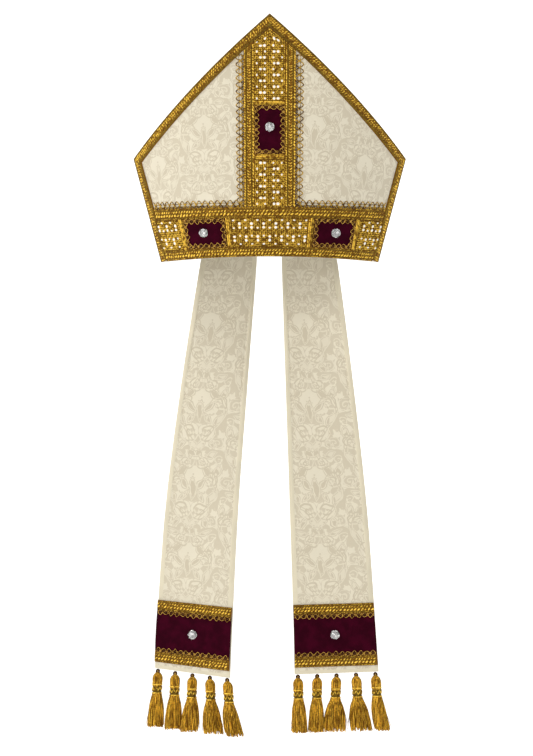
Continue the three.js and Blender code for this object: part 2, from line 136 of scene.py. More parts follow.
# One repeat of the lace: along and across from its middle line, half length, half width.
LACE_REPEAT = 13.7
LACE_WINDOWS = (
    (0.0, -9.3, 1.6, 1.75),
    (0.0, -4.9, 1.6, 1.6),
    (0.0, 5.2, 1.3, 1.2),
    (0.0, 14.2, 1.4, 1.0),
    (6.85, -13.6, 1.4, 1.0),
    (6.85, -4.0, 1.2, 1.2),
    (6.85, 5.8, 1.6, 1.6),
    (6.85, 10.2, 1.6, 1.75),
)

# Rows of stitches in a braid: place across, slant, pitch, half length, half width,
# half height, lift, thread. Then the places of its long dark cords, painted shade in the grooves.
BRAID_ROWS = {
    "rope": (
        (0.08, 0.30, 2.5, 1.20, 0.62, 0.60, 0.20, "edge"),
        (0.36, 0.75, 4.2, 2.35, 1.05, 1.0, 0.35, "lace"),
        (0.66, 0.75, 3.6, 1.95, 0.80, 0.70, 0.20, "braid"),
        (0.92, -0.30, 2.5, 1.20, 0.62, 0.60, 0.20, "edge"),
    ),
    "plait": (
        (0.10, 0.25, 3.7, 1.80, 1.05, 0.95, 0.40, "lace"),
        (0.40, -0.80, 3.3, 1.75, 0.70, 0.60, 0.10, "braid"),
        (0.60, 0.80, 3.3, 1.75, 0.70, 0.60, 0.10, "braid"),
        (0.90, 0.25, 2.8, 1.35, 0.90, 0.85, 0.35, "lace"),
    ),
    "bound": (
        (0.30, 0.70, 3.1, 1.75, 0.70, 0.60, 0.15, "edge"),
        (0.52, 0.70, 3.1, 1.75, 0.70, 0.60, 0.20, "braid"),
        (0.74, 0.70, 3.1, 1.75, 0.70, 0.60, 0.15, "braid"),
    ),
}
BRAID_CORDS = {
    "rope": (0.17, 0.52, 0.80),
    "plait": (0.22, 0.30, 0.70, 0.79),
    "bound": (0.06, 0.15, 0.88, 0.95),
}
CORD_RADIUS = 0.42
STRIP_STEP = 2.5
LOOP_PITCH, LOOP_REACH = 7.3, 5.8
PICOT_REACH, PICOT_PITCH, RIM_PICOT_REACH, RIM_PICOT_PITCH = 9.0, 8.1, 8.0, 7.2

# The woven figure: one repeat, and how far it wanders, in millimetres.
UV_SCALE, PATTERN_ORIGIN = 0.01, 1000.0  # the origin keeps all of the pattern positive
DAMASK_WIDTH, DAMASK_HEIGHT, DAMASK_WANDER = 64.0, 92.0, 9.0
# Spirals of the figure: across, along, reach, turns per millimetre, handedness.
DAMASK_SCROLLS = (
    (11.0, -25.0, 12.5, 0.17, 1),
    (21.0, 9.0, 11.0, 0.19, -1),
    (9.5, 31.0, 9.5, 0.22, 1),
    (25.5, -38.0, 8.0, 0.24, -1),
    (27.0, 34.0, 7.0, 0.26, 1),
)
# Leaves: across, along, half length, half width, angle.
DAMASK_LEAVES = (
    (0.0, 0.0, 15.0, 3.6, 1.571),
    (10.0, 5.0, 10.0, 3.0, 0.85),
    (10.0, -9.0, 9.0, 2.8, 2.2),
    (23.0, -10.0, 10.0, 3.8, 0.9),
    (14.0, 19.0, 9.0, 3.4, 2.3),
    (26.0, 20.0, 9.5, 3.8, 1.25),
    (4.5, -39.0, 9.0, 3.6, 0.6),
    (17.0, -40.0, 8.0, 3.0, 1.9),
    (3.5, 42.0, 7.0, 3.2, 1.0),
    (18.0, 40.0, 8.0, 3.0, 0.4),
)

# The stage, in metres. Lights: place, size, power.
FLOOR_SIZE, FLOOR_DROP, FLOOR_BEND, BACKDROP_HEIGHT = 44.0, 0.05, 5.0, 14.0
LIGHTS = {
    "key": ((-2.6, -2.1, 1.3), 0.9, 21.0),
    "fill": ((1.6, -2.8, 0.0), 1.6, 0.5),
}
SKY_BRIGHTEST = Vector((-0.62, -0.32, 0.72))
SKY_RAMP = {"From Min": -0.7, "From Max": 0.9, "To Min": 0.16, "To Max": 0.95}
CAMERA_DISTANCE, CAMERA_SIDE, SENSOR = 9.0, -0.0038, 36.0
VIEW_HEIGHT, VIEW_MIDDLE = 0.892, -0.1365


# --- Settings --------------------------------------------------------------------


class MitreSizes(bpy.types.PropertyGroup):
    """The driving sizes of the hat itself"""

    rim_half_width: bpy.props.FloatProperty(
        name="Rim half width", description="Half the width from side seam to side seam at the rim",
        default=0.126, unit="LENGTH",
    )
    shoulder_half_width: bpy.props.FloatProperty(
        name="Shoulder half width", description="Half the width where the side seams end",
        default=float(PANEL_HIGH.x) * MM, unit="LENGTH",
    )
    shoulder_height: bpy.props.FloatProperty(
        name="Shoulder height", description="Height of the side seams", default=0.122, unit="LENGTH",
    )
    apex_height: bpy.props.FloatProperty(
        name="Apex height", description="Height of the points of the horns",
        default=float(PANEL_HIGH.z) * MM, unit="LENGTH",
    )
    slant_bow: bpy.props.FloatProperty(
        name="Slant bow", description="How far a slanting edge bows out sideways",
        default=0.0089, unit="LENGTH",
    )
    rim_depth: bpy.props.FloatProperty(
        name="Rim depth", description="From the side seams forward to the middle of the rim",
        default=0.0656, unit="LENGTH",
    )
    half_angle: bpy.props.FloatProperty(
        name="Half angle", description="Half the angle of a face's arc in plan",
        default=math.radians(55), subtype="ANGLE",
    )


def colour_property(name, description, default):
    return bpy.props.FloatVectorProperty(
        name=name, description=description, default=default, subtype="COLOR", size=3, min=0, max=1,
    )


class MitreColours(bpy.types.PropertyGroup):
    """The colours of the cloths, threads and stones"""

    brocade: colour_property("Brocade", "Ground of the cream brocade", (0.715, 0.66, 0.52))
    figure: colour_property("Figure", "Woven figure of the brocade", (0.535, 0.47, 0.345))
    lining: colour_property("Lining", "Plain cloth of the inside and the fold", (0.63, 0.58, 0.455))
    facing: colour_property("Facing", "Folded edges of the lappets", (0.70, 0.64, 0.485))
    # Light gold and deep gold are the painted highlight and the painted shade of the gold thread.
    gold_light: colour_property("Light gold", "Bright side of the gold thread", (1.0, 0.66, 0.085))
    gold_deep: colour_property("Deep gold", "Dull side of the gold thread", (0.26, 0.12, 0.009))
    # The gold ground is painted shade under the threads.
    gold_ground: colour_property("Gold ground", "Shaded ground under the threads", (0.10, 0.042, 0.005))
    velvet: colour_property("Velvet", "Pile of the velvet", (0.042, 0.0008, 0.009))
    window: colour_property("Window", "Cloth seen through the lace", (0.97, 0.955, 0.92))


# --- The curved face ----------------------------------------------------------------


class Face:
    """The bowed wall of one side of the hat, in millimetres. s is -1 and 1 at its side seams."""

    def __init__(self, sizes):
        self.rim = sizes.rim_half_width / MM
        self.shoulder = sizes.shoulder_half_width / MM
        self.shoulder_height = sizes.shoulder_height / MM
        self.apex = sizes.apex_height / MM
        self.bow = sizes.slant_bow / MM
        self.depth = sizes.rim_depth / MM
        self.angle = sizes.half_angle
        self.lean = (-PANEL_LOW.y - SEAM - self.depth) / self.apex
        heights = np.linspace(-40, 320, 91)
        shares = np.linspace(0, 1, 25)
        grid = self.point(shares[None, :], heights[:, None], 0.0)
        steps = np.linalg.norm(np.diff(grid, axis=1), axis=2)
        self.arc_heights, self.arcs = heights, steps.sum(axis=1)
        self.edge_shares = np.linspace(0, 1, 201)
        self.edge_heights = self._edge_heights(self.edge_shares)
        self._trace_binding()

    def half_width(self, z):
        flare = (self.shoulder - self.rim) / self.shoulder_height
        return self.rim + flare * z

    def point(self, s, z, offset):
        s, z, offset = np.broadcast_arrays(s, z, offset)
        turn = s * self.angle
        half = self.half_width(z) + offset / math.sin(self.angle)
        bulge = (np.cos(turn) - math.cos(self.angle)) / (1 - math.cos(self.angle))
        x = half * np.sin(turn) / math.sin(self.angle)
        y = -(SEAM + (self.depth + self.lean * z + offset) * bulge)
        return np.stack([x, y, z + 0.0 * x], axis=-1)

    def share(self, x, z):
        sine = x / self.half_width(z) * math.sin(self.angle)
        return np.arcsin(np.clip(sine, -1, 1)) / self.angle

    def half_arc(self, z):
        return np.interp(z, self.arc_heights, self.arcs)

    def band_height(self, s, h):
        across = np.sin(s * self.angle) / math.sin(self.angle)
        arch = RIM_ARCH * np.clip(1 - h / ARCH_FADE, 0, None)
        return h - arch * across**2

    def _edge_heights(self, s):
        low = np.full(s.shape, self.shoulder_height)
        high = np.full(s.shape, self.apex)
        for _ in range(40):
            middle = (low + high) / 2
            t = (middle - self.shoulder_height) / (self.apex - self.shoulder_height)
            outline = self.shoulder * (1 - t) + self.bow * 4 * t * (1 - t)
            inside = self.point(s, middle, 0.0)[:, 0] < outline
            low = np.where(inside, middle, low)
            high = np.where(inside, high, middle)
        return (low + high) / 2

    def edge_height(self, s):
        return np.interp(np.abs(s), self.edge_shares, self.edge_heights)

    def _trace_binding(self):
        """The unrolled edge from apex to rim, and the same edge moved inwards, mitred."""
        heights = self.edge_heights[::4]
        slant = np.stack([self.edge_shares[::4] * self.half_arc(heights), heights], axis=1)
        falling = self.shoulder_height * (1 - np.linspace(0, 1, 22)[1:])
        side = np.stack([self.half_arc(falling), falling], axis=1)
        edge = np.concatenate([slant, side])
        before = np.concatenate([[[-edge[1, 0], edge[1, 1]]], edge[:-1]])
        after = np.concatenate([edge[1:], [2 * edge[-1] - edge[-2]]])
        first = edge - before
        second = after - edge
        first /= np.linalg.norm(first, axis=1, keepdims=True)
        second /= np.linalg.norm(second, axis=1, keepdims=True)
        spread = 1 + (first * second).sum(axis=1, keepdims=True)
        normal = np.stack([first[:, 1] + second[:, 1], -first[:, 0] - second[:, 0]], axis=1)
        self.edge, self.inward = edge, normal / spread
        lengths = np.linalg.norm(np.diff(edge, axis=0), axis=1)
        self.edge_run = np.concatenate([[0], np.cumsum(lengths)])

    def binding_point(self, t, inward, offset):
        """t runs along the edge from the apex, negative on the left; inward is from the edge."""
        run = np.abs(t)
        flat = [
            np.interp(run, self.edge_run, self.edge[:, i])
            + inward * np.interp(run, self.edge_run, self.inward[:, i])
            for i in (0, 1)
        ]
        s = np.sign(t) * flat[0] / self.half_arc(flat[1])
        return self.point(s, flat[1], offset)

    def binding_foot(self, s):
        """Height of the binding's inner edge above the point s."""
        inner = self.edge + self.inward * BINDING_WIDTH
        shares = inner[:, 0] / self.half_arc(inner[:, 1])
        upper = inner[:, 1] > self.shoulder_height
        return np.interp(np.abs(s), shares[upper], inner[upper, 1])

    def band_end(self):
        """s of the binding's inner edge at the bands round the rim."""
        lean = (self.half_arc(self.shoulder_height) - self.half_arc(0)) / self.shoulder_height
        return 1 - (BINDING_WIDTH * math.hypot(1, lean) + 2 * GAP) / self.half_arc(BAND_MIDDLE)


def facing(place, side):
    """The same place on the front (side 1) or turned round to the back (side -1)."""
    turn = np.array([side, side, 1.0])
    return lambda *spot: place(*spot) * turn


def normal_to(middle, u, v, step_u, step_v):
    """The unit normal of a surface middle(u, v), from its steps both ways."""
    along = middle(u + step_u, v) - middle(u - step_u, v)
    up = middle(u, v + step_v) - middle(u, v - step_v)
    normal = np.cross(along, up)
    return normal / np.linalg.norm(normal, axis=-1, keepdims=True)


# --- Modelling helpers ---------------------------------------------------------------


def path(t, c, z):
    """Points along a thread, where one number stands for all of them."""
    return np.stack(np.broadcast_arrays(t, c, z), axis=-1)


def circle(count):
    """Angles once round, without the last."""
    return np.linspace(0, 2 * math.pi, count, endpoint=False)


def triangle_wave(turns):
    """1 at whole turns, 0 half-way between them, and straight between."""
    return np.abs(2 * (turns % 1) - 1)


def mode(name):
    bpy.ops.object.mode_set(mode=name)


def deselect():
    if bpy.context.mode != "OBJECT":
        mode("OBJECT")
    bpy.ops.object.select_all(action="DESELECT")


def select_only(piece):
    deselect()
    piece.select_set(True)
    bpy.context.view_layer.objects.active = piece


def select_faces(piece, wanted):
    """Selects the faces of a piece in edit mode that wanted(face) picks, and no others."""
    mode("EDIT")
    bpy.ops.mesh.select_mode(type="FACE")
    bpy.ops.mesh.select_all(action="DESELECT")
    mode("OBJECT")
    for polygon in piece.data.polygons:
        polygon.select = wanted(polygon)
    mode("EDIT")


def push(rise, scale=1.0):
    """Extrudes what is selected by a rise in millimetres, and then scales it flat."""
    bpy.ops.mesh.extrude_region_move(TRANSFORM_OT_translate={"value": (0, 0, rise * MM)})
    bpy.ops.transform.resize(value=(scale, scale, 1))


def dress(piece, *names):
    """Gives a piece its materials, in the order of its material numbers."""
    piece.data.materials.clear()
    for name in names:
        piece.data.materials.append(stuff(name))
    return piece


def add_object(name, data):
    piece = bpy.data.objects.new(name, data)
    bpy.context.collection.objects.link(piece)
    return piece


def corners(piece):
    co = np.empty(len(piece.data.vertices) * 3)
    piece.data.vertices.foreach_get("co", co)
    return co.reshape(-1, 3)


def set_corners(piece, co):
    piece.data.vertices.foreach_set("co", np.ascontiguousarray(co, dtype=np.float32).ravel())
    piece.data.update()


def mirrors(place, spot):
    """Whether place() turns a shape inside out near a spot, as a mirror does."""
    steps = np.eye(3) * 0.01
    return np.linalg.det(place(*(spot + steps).T) - place(*(spot - steps).T)) < 0


def lay(piece, place):
    """Moves a piece modelled flat, in millimetres, onto the surface that place() describes."""
    co = corners(piece)
    set_corners(piece, place(co[:, 0], co[:, 1], co[:, 2]) * MM)
    if mirrors(place, co[len(co) // 3]):
        piece.data.flip_normals()
    return piece


def apply_modifier(piece, kind, **settings):
    select_only(piece)
    modifier = piece.modifiers.new(kind.title(), kind)
    for key, value in settings.items():
        setattr(modifier, key, value)
    bpy.ops.object.modifier_apply(modifier=modifier.name)


def block(name, columns, rows, place, flat=None, rounding=0.0):
    """A closed slab: a grid extruded once, whose corners place(u, v, w) moves. flat gives UVs."""
    deselect()
    bpy.ops.mesh.primitive_grid_add(x_subdivisions=columns, y_subdivisions=rows, size=1)
    piece = bpy.context.object
    piece.name = name
    mode("EDIT")
    bpy.ops.mesh.select_all(action="SELECT")
    bpy.ops.mesh.extrude_region_move(TRANSFORM_OT_translate={"value": (0, 0, 1)})
    bpy.ops.mesh.select_all(action="SELECT")
    bpy.ops.mesh.normals_make_consistent(inside=False)
    mode("OBJECT")
    co = corners(piece)
    u, v, w = co[:, 0] + 0.5, co[:, 1] + 0.5, co[:, 2]
    if flat is not None:
        loops = np.empty(len(piece.data.loops), dtype=np.int32)
        piece.data.loops.foreach_get("vertex_index", loops)
        across, along = flat(u, v)
        uv = np.stack([across[loops], along[loops]], axis=1) * UV_SCALE
        layer = piece.data.uv_layers.active or piece.data.uv_layers.new(name="Cloth")
        layer.data.foreach_set("uv", uv.astype(np.float32).ravel())
    set_corners(piece, place(u, v, w) * MM)
    if rounding:
        apply_modifier(
            piece, "BEVEL", width=rounding * MM, segments=2, limit_method="ANGLE",
            angle_limit=math.radians(50),
        )
    smooth(piece)
    return piece


def smooth(piece, angle=40):
    select_only(piece)
    bpy.ops.object.shade_smooth_by_angle(angle=math.radians(angle))


def join(name, pieces):
    deselect()
    for piece in pieces:
        piece.select_set(True)
    bpy.context.view_layer.objects.active = pieces[0]
    if len(pieces) > 1:
        bpy.ops.object.join()
    joined = bpy.context.view_layer.objects.active
    joined.name = name
    joined.data.name = name
    return joined


def threads(name, paths, radius, finish, closed=False, round_steps=0):
    """Round threads along lists of points in millimetres, as one mesh."""
    curve = bpy.data.curves.new(name, "CURVE")
    curve.dimensions = "3D"
    curve.bevel_depth = radius
    curve.bevel_resolution = round_steps
    curve.use_fill_caps = True
    for points in paths:
        spline = curve.splines.new("POLY")
        spline.points.add(len(points) - 1)
        spline.points.foreach_set("co", np.insert(points, 3, 1.0, axis=1).ravel())
        spline.use_cyclic_u = closed
    select_only(add_object(name, curve))
    bpy.ops.object.convert(target="MESH")
    piece = bpy.context.view_layer.objects.active
    piece.data.polygons.foreach_set("use_smooth", [True] * len(piece.data.polygons))
    return dress(piece, finish)


def stitch_shape(segments=6, rings=4):
    """The points and triangles of one stitch: a ball that repeat() stretches."""
    deselect()
    bpy.ops.mesh.primitive_uv_sphere_add(segments=segments, ring_count=rings, radius=1)
    ball = bpy.context.object
    mode("EDIT")
    bpy.ops.mesh.select_all(action="SELECT")
    bpy.ops.mesh.quads_convert_to_tris()
    mode("OBJECT")
    points = corners(ball)[:, [2, 0, 1]]
    triangles = np.empty(len(ball.data.polygons) * 3, dtype=np.int32)
    ball.data.polygons.foreach_get("vertices", triangles)
    bpy.data.objects.remove(ball)
    return points, triangles.reshape(-1, 3)


def repeat(name, shape, rows, finish):
    """Copies of a shape at rows of x, y, z, angle, half length, half width, half height."""
    points, triangles = shape
    rows = np.asarray(rows, dtype=float)
    x, y, z, angle, length, width, height = rows.T[:, :, None]
    along, across = points[:, 0] * length, points[:, 1] * width
    co = np.stack([
        x + along * np.cos(angle) - across * np.sin(angle),
        y + along * np.sin(angle) + across * np.cos(angle),
        z + points[:, 2] * height,
    ], axis=-1).reshape(-1, 3)
    faces = (triangles[None] + len(points) * np.arange(len(rows))[:, None, None]).reshape(-1, 3)
    mesh = bpy.data.meshes.new(name)
    mesh.vertices.add(len(co))
    mesh.vertices.foreach_set("co", co.astype(np.float32).ravel())
    mesh.loops.add(faces.size)
    mesh.loops.foreach_set("vertex_index", faces.astype(np.int32).ravel())
    mesh.polygons.add(len(faces))
    mesh.polygons.foreach_set("loop_start", np.arange(0, faces.size, 3, dtype=np.int32))
    mesh.polygons.foreach_set("use_smooth", [True] * len(faces))
    mesh.update(calc_edges=True)
    return dress(add_object(name, mesh), finish)


def finish_piece(piece, slot, *nodes):
    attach(piece, "root")
    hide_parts(*nodes)
    return piece


# --- Materials --------------------------------------------------------------------------


class Value:
    """A socket to read from; arithmetic on it adds Math nodes."""

    def __init__(self, nodes, socket):
        self.nodes, self.socket = nodes, socket

    def __add__(self, other):
        return self.nodes.math("ADD", self, other)

    def __sub__(self, other):
        return self.nodes.math("SUBTRACT", self, other)

    def __rsub__(self, other):
        return self.nodes.math("SUBTRACT", other, self)

    def __mul__(self, other):
        return self.nodes.math("MULTIPLY", self, other)

    def __truediv__(self, other):
        return self.nodes.math("DIVIDE", self, other)

    def __mod__(self, other):
        return self.nodes.math("FLOORED_MODULO", self, other)

    def __pow__(self, other):
        return self.nodes.math("POWER", self, other)

    def __abs__(self):
        return self.nodes.math("ABSOLUTE", self)


class Nodes:
    """A short way to write a material: numbers or values in, a value out."""

    def __init__(self, name):
        self.material = bpy.data.materials.new(name)
        self.material.use_nodes = True
        self.tree = self.material.node_tree
        self.shader = self.tree.nodes["Principled BSDF"]

    def put(self, socket, value):
        if isinstance(value, Value):
            self.tree.links.new(value.socket, socket)
        elif socket.type == "RGBA" and len(value) == 3:
            socket.default_value = (*value, 1)
        else:
            socket.default_value = value

    def add(self, kind, inputs, output=0, **settings):
        node = self.tree.nodes.new(kind)
        for key, value in settings.items():
            setattr(node, key, value)
        for key, value in inputs.items():
            self.put(node.inputs[key], value)
        return Value(self, node.outputs[output])

    def math(self, operation, *values):
        return self.add("ShaderNodeMath", dict(enumerate(values)), operation=operation)

    def mix(self, share, a, b):
        """A colour from a to b; a Mix node's colours are its inputs 6 and 7 and its output 2."""
        return self.add("ShaderNodeMix", {0: share, 6: a, 7: b}, 2, data_type="RGBA")

    def band(self, value, low, high):
        """0 below low and 1 above high, smooth between."""
        inputs = {"Value": value, "From Min": low, "From Max": high}
        return self.add("ShaderNodeMapRange", inputs, interpolation_type="SMOOTHSTEP")

    def noise(self, where, scale, detail=2.0, output=0):
        inputs = {"Vector": where, "Scale": scale, "Detail": detail}
        return self.add("ShaderNodeTexNoise", inputs, output)

    def where(self, kind="Object"):
        return self.add("ShaderNodeTexCoord", {}, kind)

    def split(self, vector):
        """The x and y of a vector."""
        x = self.add("ShaderNodeSeparateXYZ", {0: vector})
        return x, Value(self, x.socket.node.outputs[1])

    def bump(self, height, strength, distance):
        inputs = {"Height": height, "Strength": strength, "Distance": distance}
        self.put(self.shader.inputs["Normal"], self.add("ShaderNodeBump", inputs))

    def finish(self, **values):
        for key, value in values.items():
            self.put(self.shader.inputs[key.replace("_", " ")], value)
        return self.material


def damask_figure(nodes):
    """A mirrored, half-dropped scroll and leaf figure on the cloth's UV map, from 0 to 1."""
    cloth = nodes.where("UV")
    drift = nodes.noise(cloth, 5.5, output=1)
    p, q = (spot * (1 / UV_SCALE) + astray * DAMASK_WANDER
            for spot, astray in zip(nodes.split(cloth), nodes.split(drift)))
    column = nodes.math("FLOOR", p / DAMASK_WIDTH)
    drop = column % 2.0 * (DAMASK_HEIGHT / 2)
    x = abs(p % DAMASK_WIDTH - DAMASK_WIDTH / 2)
    y = (q + drop) % DAMASK_HEIGHT - DAMASK_HEIGHT / 2

    def turned(cx, cy, angle):
        """The spot seen from a middle of its own, and turned."""
        dx, dy = x - cx, y - cy
        c, s = math.cos(angle), math.sin(angle)
        return dx * c + dy * s, dy * c - dx * s

    ogee = nodes.math("COSINE", y * (2 * math.pi / DAMASK_HEIGHT)) * 12.0 + DAMASK_WIDTH / 4
    twin_line = abs(abs(x - ogee) - 1.9)
    figure = 1.0 - nodes.band(twin_line, 0.35, 0.8)
    for cx, cy, reach, rate, hand in DAMASK_SCROLLS:
        a, b = turned(cx, cy, 0.0)
        radius = nodes.math("SQRT", a**2.0 + b**2.0)
        turn = nodes.math("ARCTAN2", b, a) * (hand / (2 * math.pi))
        ridge = abs(nodes.math("FRACT", radius * rate + turn) - 0.5)
        stroke = 1.0 - nodes.band(ridge, 0.13, 0.20)
        inside = 1.0 - nodes.band(radius, reach - 1.2, reach)
        figure = nodes.math("MAXIMUM", figure, stroke * inside)
    for cx, cy, half_length, half_width, angle in DAMASK_LEAVES:
        a, b = turned(cx, cy, angle)
        inside = (1.0 - (a / half_length) ** 2.0) * (1.3 * half_width) - abs(b)
        vein = nodes.band(inside, 0.9, 1.3) * (1.0 - nodes.band(inside, 1.9, 2.3))
        figure = nodes.math("MAXIMUM", figure, nodes.band(inside, 0.0, 0.5) - vein)
    foliage = nodes.add("ShaderNodeTexNoise", {
        "Vector": nodes.add("ShaderNodeCombineXYZ", {0: x, 1: y}), "Scale": 0.072, "Detail": 1.6,
        "Roughness": 0.42, "Distortion": 1.3,
    })
    # Strokes show light on the dark foliage and dark on the light ground.
    return abs(figure - nodes.band(foliage, 0.505, 0.522) * 0.85)


def shaded(colour, share):
    return tuple(share * c for c in colour)


def brocade_material(colours):
    nodes = Nodes("Cream brocade")
    figure = damask_figure(nodes)
    patch = nodes.noise(nodes.where(), 28.0, 3.0)
    weave = nodes.noise(nodes.where(), 1500.0, 1.0)
    slub = nodes.add(
        "ShaderNodeTexWave", {"Vector": nodes.where("UV"), "Scale": 60.0, "Distortion": 1.5},
        bands_direction="Y",
    )
    ground = nodes.mix(nodes.band(patch, 0.3, 0.7), shaded(colours.brocade, 0.96), colours.brocade)
    colour = nodes.mix(figure * 0.88, ground, colours.figure)
    colour = nodes.mix(weave * 0.10, colour, (0.62, 0.56, 0.44))
    nodes.bump(figure * 0.55 + slub * 0.12 + weave * 0.25, 0.35, 0.0004)
    return nodes.finish(Base_Color=colour, Roughness=figure * 0.16 + 0.48, Sheen_Weight=0.25,
                        Sheen_Roughness=0.5)


def plain_material(name, tint):
    nodes = Nodes(name)
    weave = nodes.add("ShaderNodeTexVoronoi", {"Vector": nodes.where(), "Scale": 900.0})
    patch = nodes.noise(nodes.where(), 22.0, 3.0)
    colour = nodes.mix(nodes.band(patch, 0.3, 0.7), shaded(tint, 0.9), tint)
    nodes.bump(weave, 0.25, 0.0003)
    return nodes.finish(Base_Color=colour, Roughness=0.8, Sheen_Weight=0.15)


def gold_material(name, light, deep, scale, roughness, share=(0.40, 0.62)):
    """Metallic thread: painted highlights and painted shade in stretches a thread or two long, with a fine
    twist.
    """
    nodes = Nodes(name)
    glint = nodes.noise(nodes.where(), scale)
    broad_patches = nodes.noise(nodes.where(), 60.0)
    twist = nodes.noise(nodes.where(), 3200.0, 1.0)
    # Colour: painted highlight and painted shade, mixed by the glints and by broad patches some 16 mm
    # across.
    colour = nodes.mix(nodes.band(broad_patches * 0.16 + glint * 0.94, *share), deep, light)
    nodes.bump(twist, 0.4, 0.0002)
    return nodes.finish(Base_Color=colour, Roughness=twist * 0.25 + roughness, Metallic=0.82)


def strand_material(light, deep):
    """Hanging metallic strands: colour runs in long streaks of painted highlight and painted shade down
    each one.
    """
    nodes = Nodes("Tassel strand")
    drawn_out = nodes.add("ShaderNodeMapping", {"Vector": nodes.where(), "Scale": (1.0, 1.0, 0.07)})
    streak = nodes.noise(drawn_out, 900.0)
    glint = nodes.noise(nodes.where(), 520.0, 1.0)
    colour = nodes.mix(nodes.band(streak * 0.75 + glint * 0.25, 0.40, 0.64), deep, light)
    nodes.bump(streak, 0.3, 0.0002)
    return nodes.finish(Base_Color=colour, Roughness=glint * 0.2 + 0.26, Metallic=0.8)


def velvet_material(colours):
    nodes = Nodes("Dark red velvet")
    nap = nodes.noise(nodes.where(), 2600.0)
    crush = nodes.noise(nodes.where(), 90.0, 3.0)
    colour = nodes.mix(nodes.band(crush, 0.35, 0.7), shaded(colours.velvet, 0.62), colours.velvet)
    nodes.bump(nap, 0.6, 0.0004)
    return nodes.finish(Base_Color=colour, Roughness=0.95, Sheen_Weight=0.12,
                        Sheen_Roughness=0.35, Sheen_Tint=(0.60, 0.01, 0.13),
                        Specular_IOR_Level=0.05)


def window_material(colours):
    nodes = Nodes("Lace window")
    weave = nodes.noise(nodes.where(), 2000.0, 1.0)
    colour = nodes.mix(weave, shaded(colours.window, 0.9), colours.window)
    nodes.bump(weave, 0.3, 0.0002)
    return nodes.finish(Base_Color=colour, Roughness=0.5, Sheen_Weight=0.3)


def crystal_material():
    nodes = Nodes("Cut crystal")
    cloud = nodes.noise(nodes.where(), 300.0, 1.0)
    return nodes.finish(Base_Color=(0.96, 0.97, 0.98), Roughness=cloud * 0.04, IOR=1.75,
                        Transmission_Weight=0.85, Coat_Weight=0.6)


def silver_material():
    nodes = Nodes("Silver foil and cup")
    cloud = nodes.noise(nodes.where(), 330.0, 0.0)
    # Blotches between near black and near white: painted reflections and painted shade of the stone's
    # facets, on the foil, cup and claws.
    colour = nodes.mix(nodes.band(cloud, 0.45, 0.55), (0.13, 0.11, 0.10), (0.92, 0.91, 0.90))
    return nodes.finish(Base_Color=colour, Roughness=cloud * 0.2 + 0.12, Metallic=1.0)


def make_materials(colours):
    light, deep = colours.gold_light, colours.gold_deep
    # A darker copy of the painted shade, for the edge and cord threads.
    dark = shaded(deep, 0.55)
    # Name: title, light side (painted highlight), dull side (painted shade), scale of the glints,
    # roughness, share that is light.
    golds = {
        "braid": ("Gold braid thread", light, deep, 330.0, 0.22, (0.44, 0.60)),
        # A shaded copy of the gold thread: painted shade on the stitches and lace strands that take it.
        "edge": ("Gold edge cord", shaded(light, 0.72), dark, 330.0, 0.28, (0.46, 0.68)),
        # Dark gold cord: painted shade in the braids' grooves, along the binding's folded edge and under
        # the tassels' zigzag.
        "cord": ("Dark gold cord", shaded(light, 0.26), dark, 500.0, 0.35),
        "lace": ("Gold lace thread", light, deep, 330.0, 0.20, (0.40, 0.57)),
        "picot": ("Fine gold loop", (0.62, 0.38, 0.05), (0.10, 0.045, 0.010), 420.0, 0.35, (0.46, 0.62)),
        "loop": ("Gold loop on velvet", (0.85, 0.52, 0.10), deep, 420.0, 0.30),
        # Dark fringe: painted shade where the velvet's gold loops lie; also the dark zigzag at the picots'
        # roots.
        "fringe": ("Dark fringe", (0.16, 0.07, 0.02), (0.03, 0.008, 0.006), 420.0, 0.5),
        "knot": ("Dark knot", (0.13, 0.055, 0.015), (0.03, 0.010, 0.004), 500.0, 0.6),
        # Gold ground: painted shade, laid under the stitches of braids, bars and lace and inside the
        # tassels.
        "ground": ("Gold ground", deep, colours.gold_ground, 700.0, 0.5),
    }
    return {
        **{name: gold_material(*row) for name, row in golds.items()},
        "brocade": brocade_material(colours),
        "lining": plain_material("Plain lining", colours.lining),
        "facing": plain_material("Plain facing", colours.facing),
        # The tassels' gold: its painted highlight and painted shade.
        "tassel": strand_material((0.98, 0.58, 0.055), (0.25, 0.11, 0.006)),
        "velvet": velvet_material(colours),
        "window": window_material(colours),
        "crystal": crystal_material(),
        "silver": silver_material(),
    }


MADE_MATERIALS = {}


def stuff(name):
    """The material of that name, made once for the whole hat."""
    if not MADE_MATERIALS:
        MADE_MATERIALS.update(make_materials(bpy.context.scene.mitre_colours))
    return MADE_MATERIALS[name]


# --- Trims: each is laid by place(t, c, o): along, across, and out from the wall ----------


def strip(name, start, end, low, high, place, thickness, finish, crown=0.0):
    """A plain strip with rounded edges, from low to high across; a crown swells its middle."""
    def spot(u, v, w):
        t = start + (end - start) * u
        c = low + (high - low) * v
        rise = crown * (1 - (2 * v - 1) ** 4)
        return place(t, c, GAP + w * (thickness + rise))
    columns = max(2, int(abs(end - start) / STRIP_STEP))
    return dress(block(name, columns, 6, spot, rounding=0.3), finish)


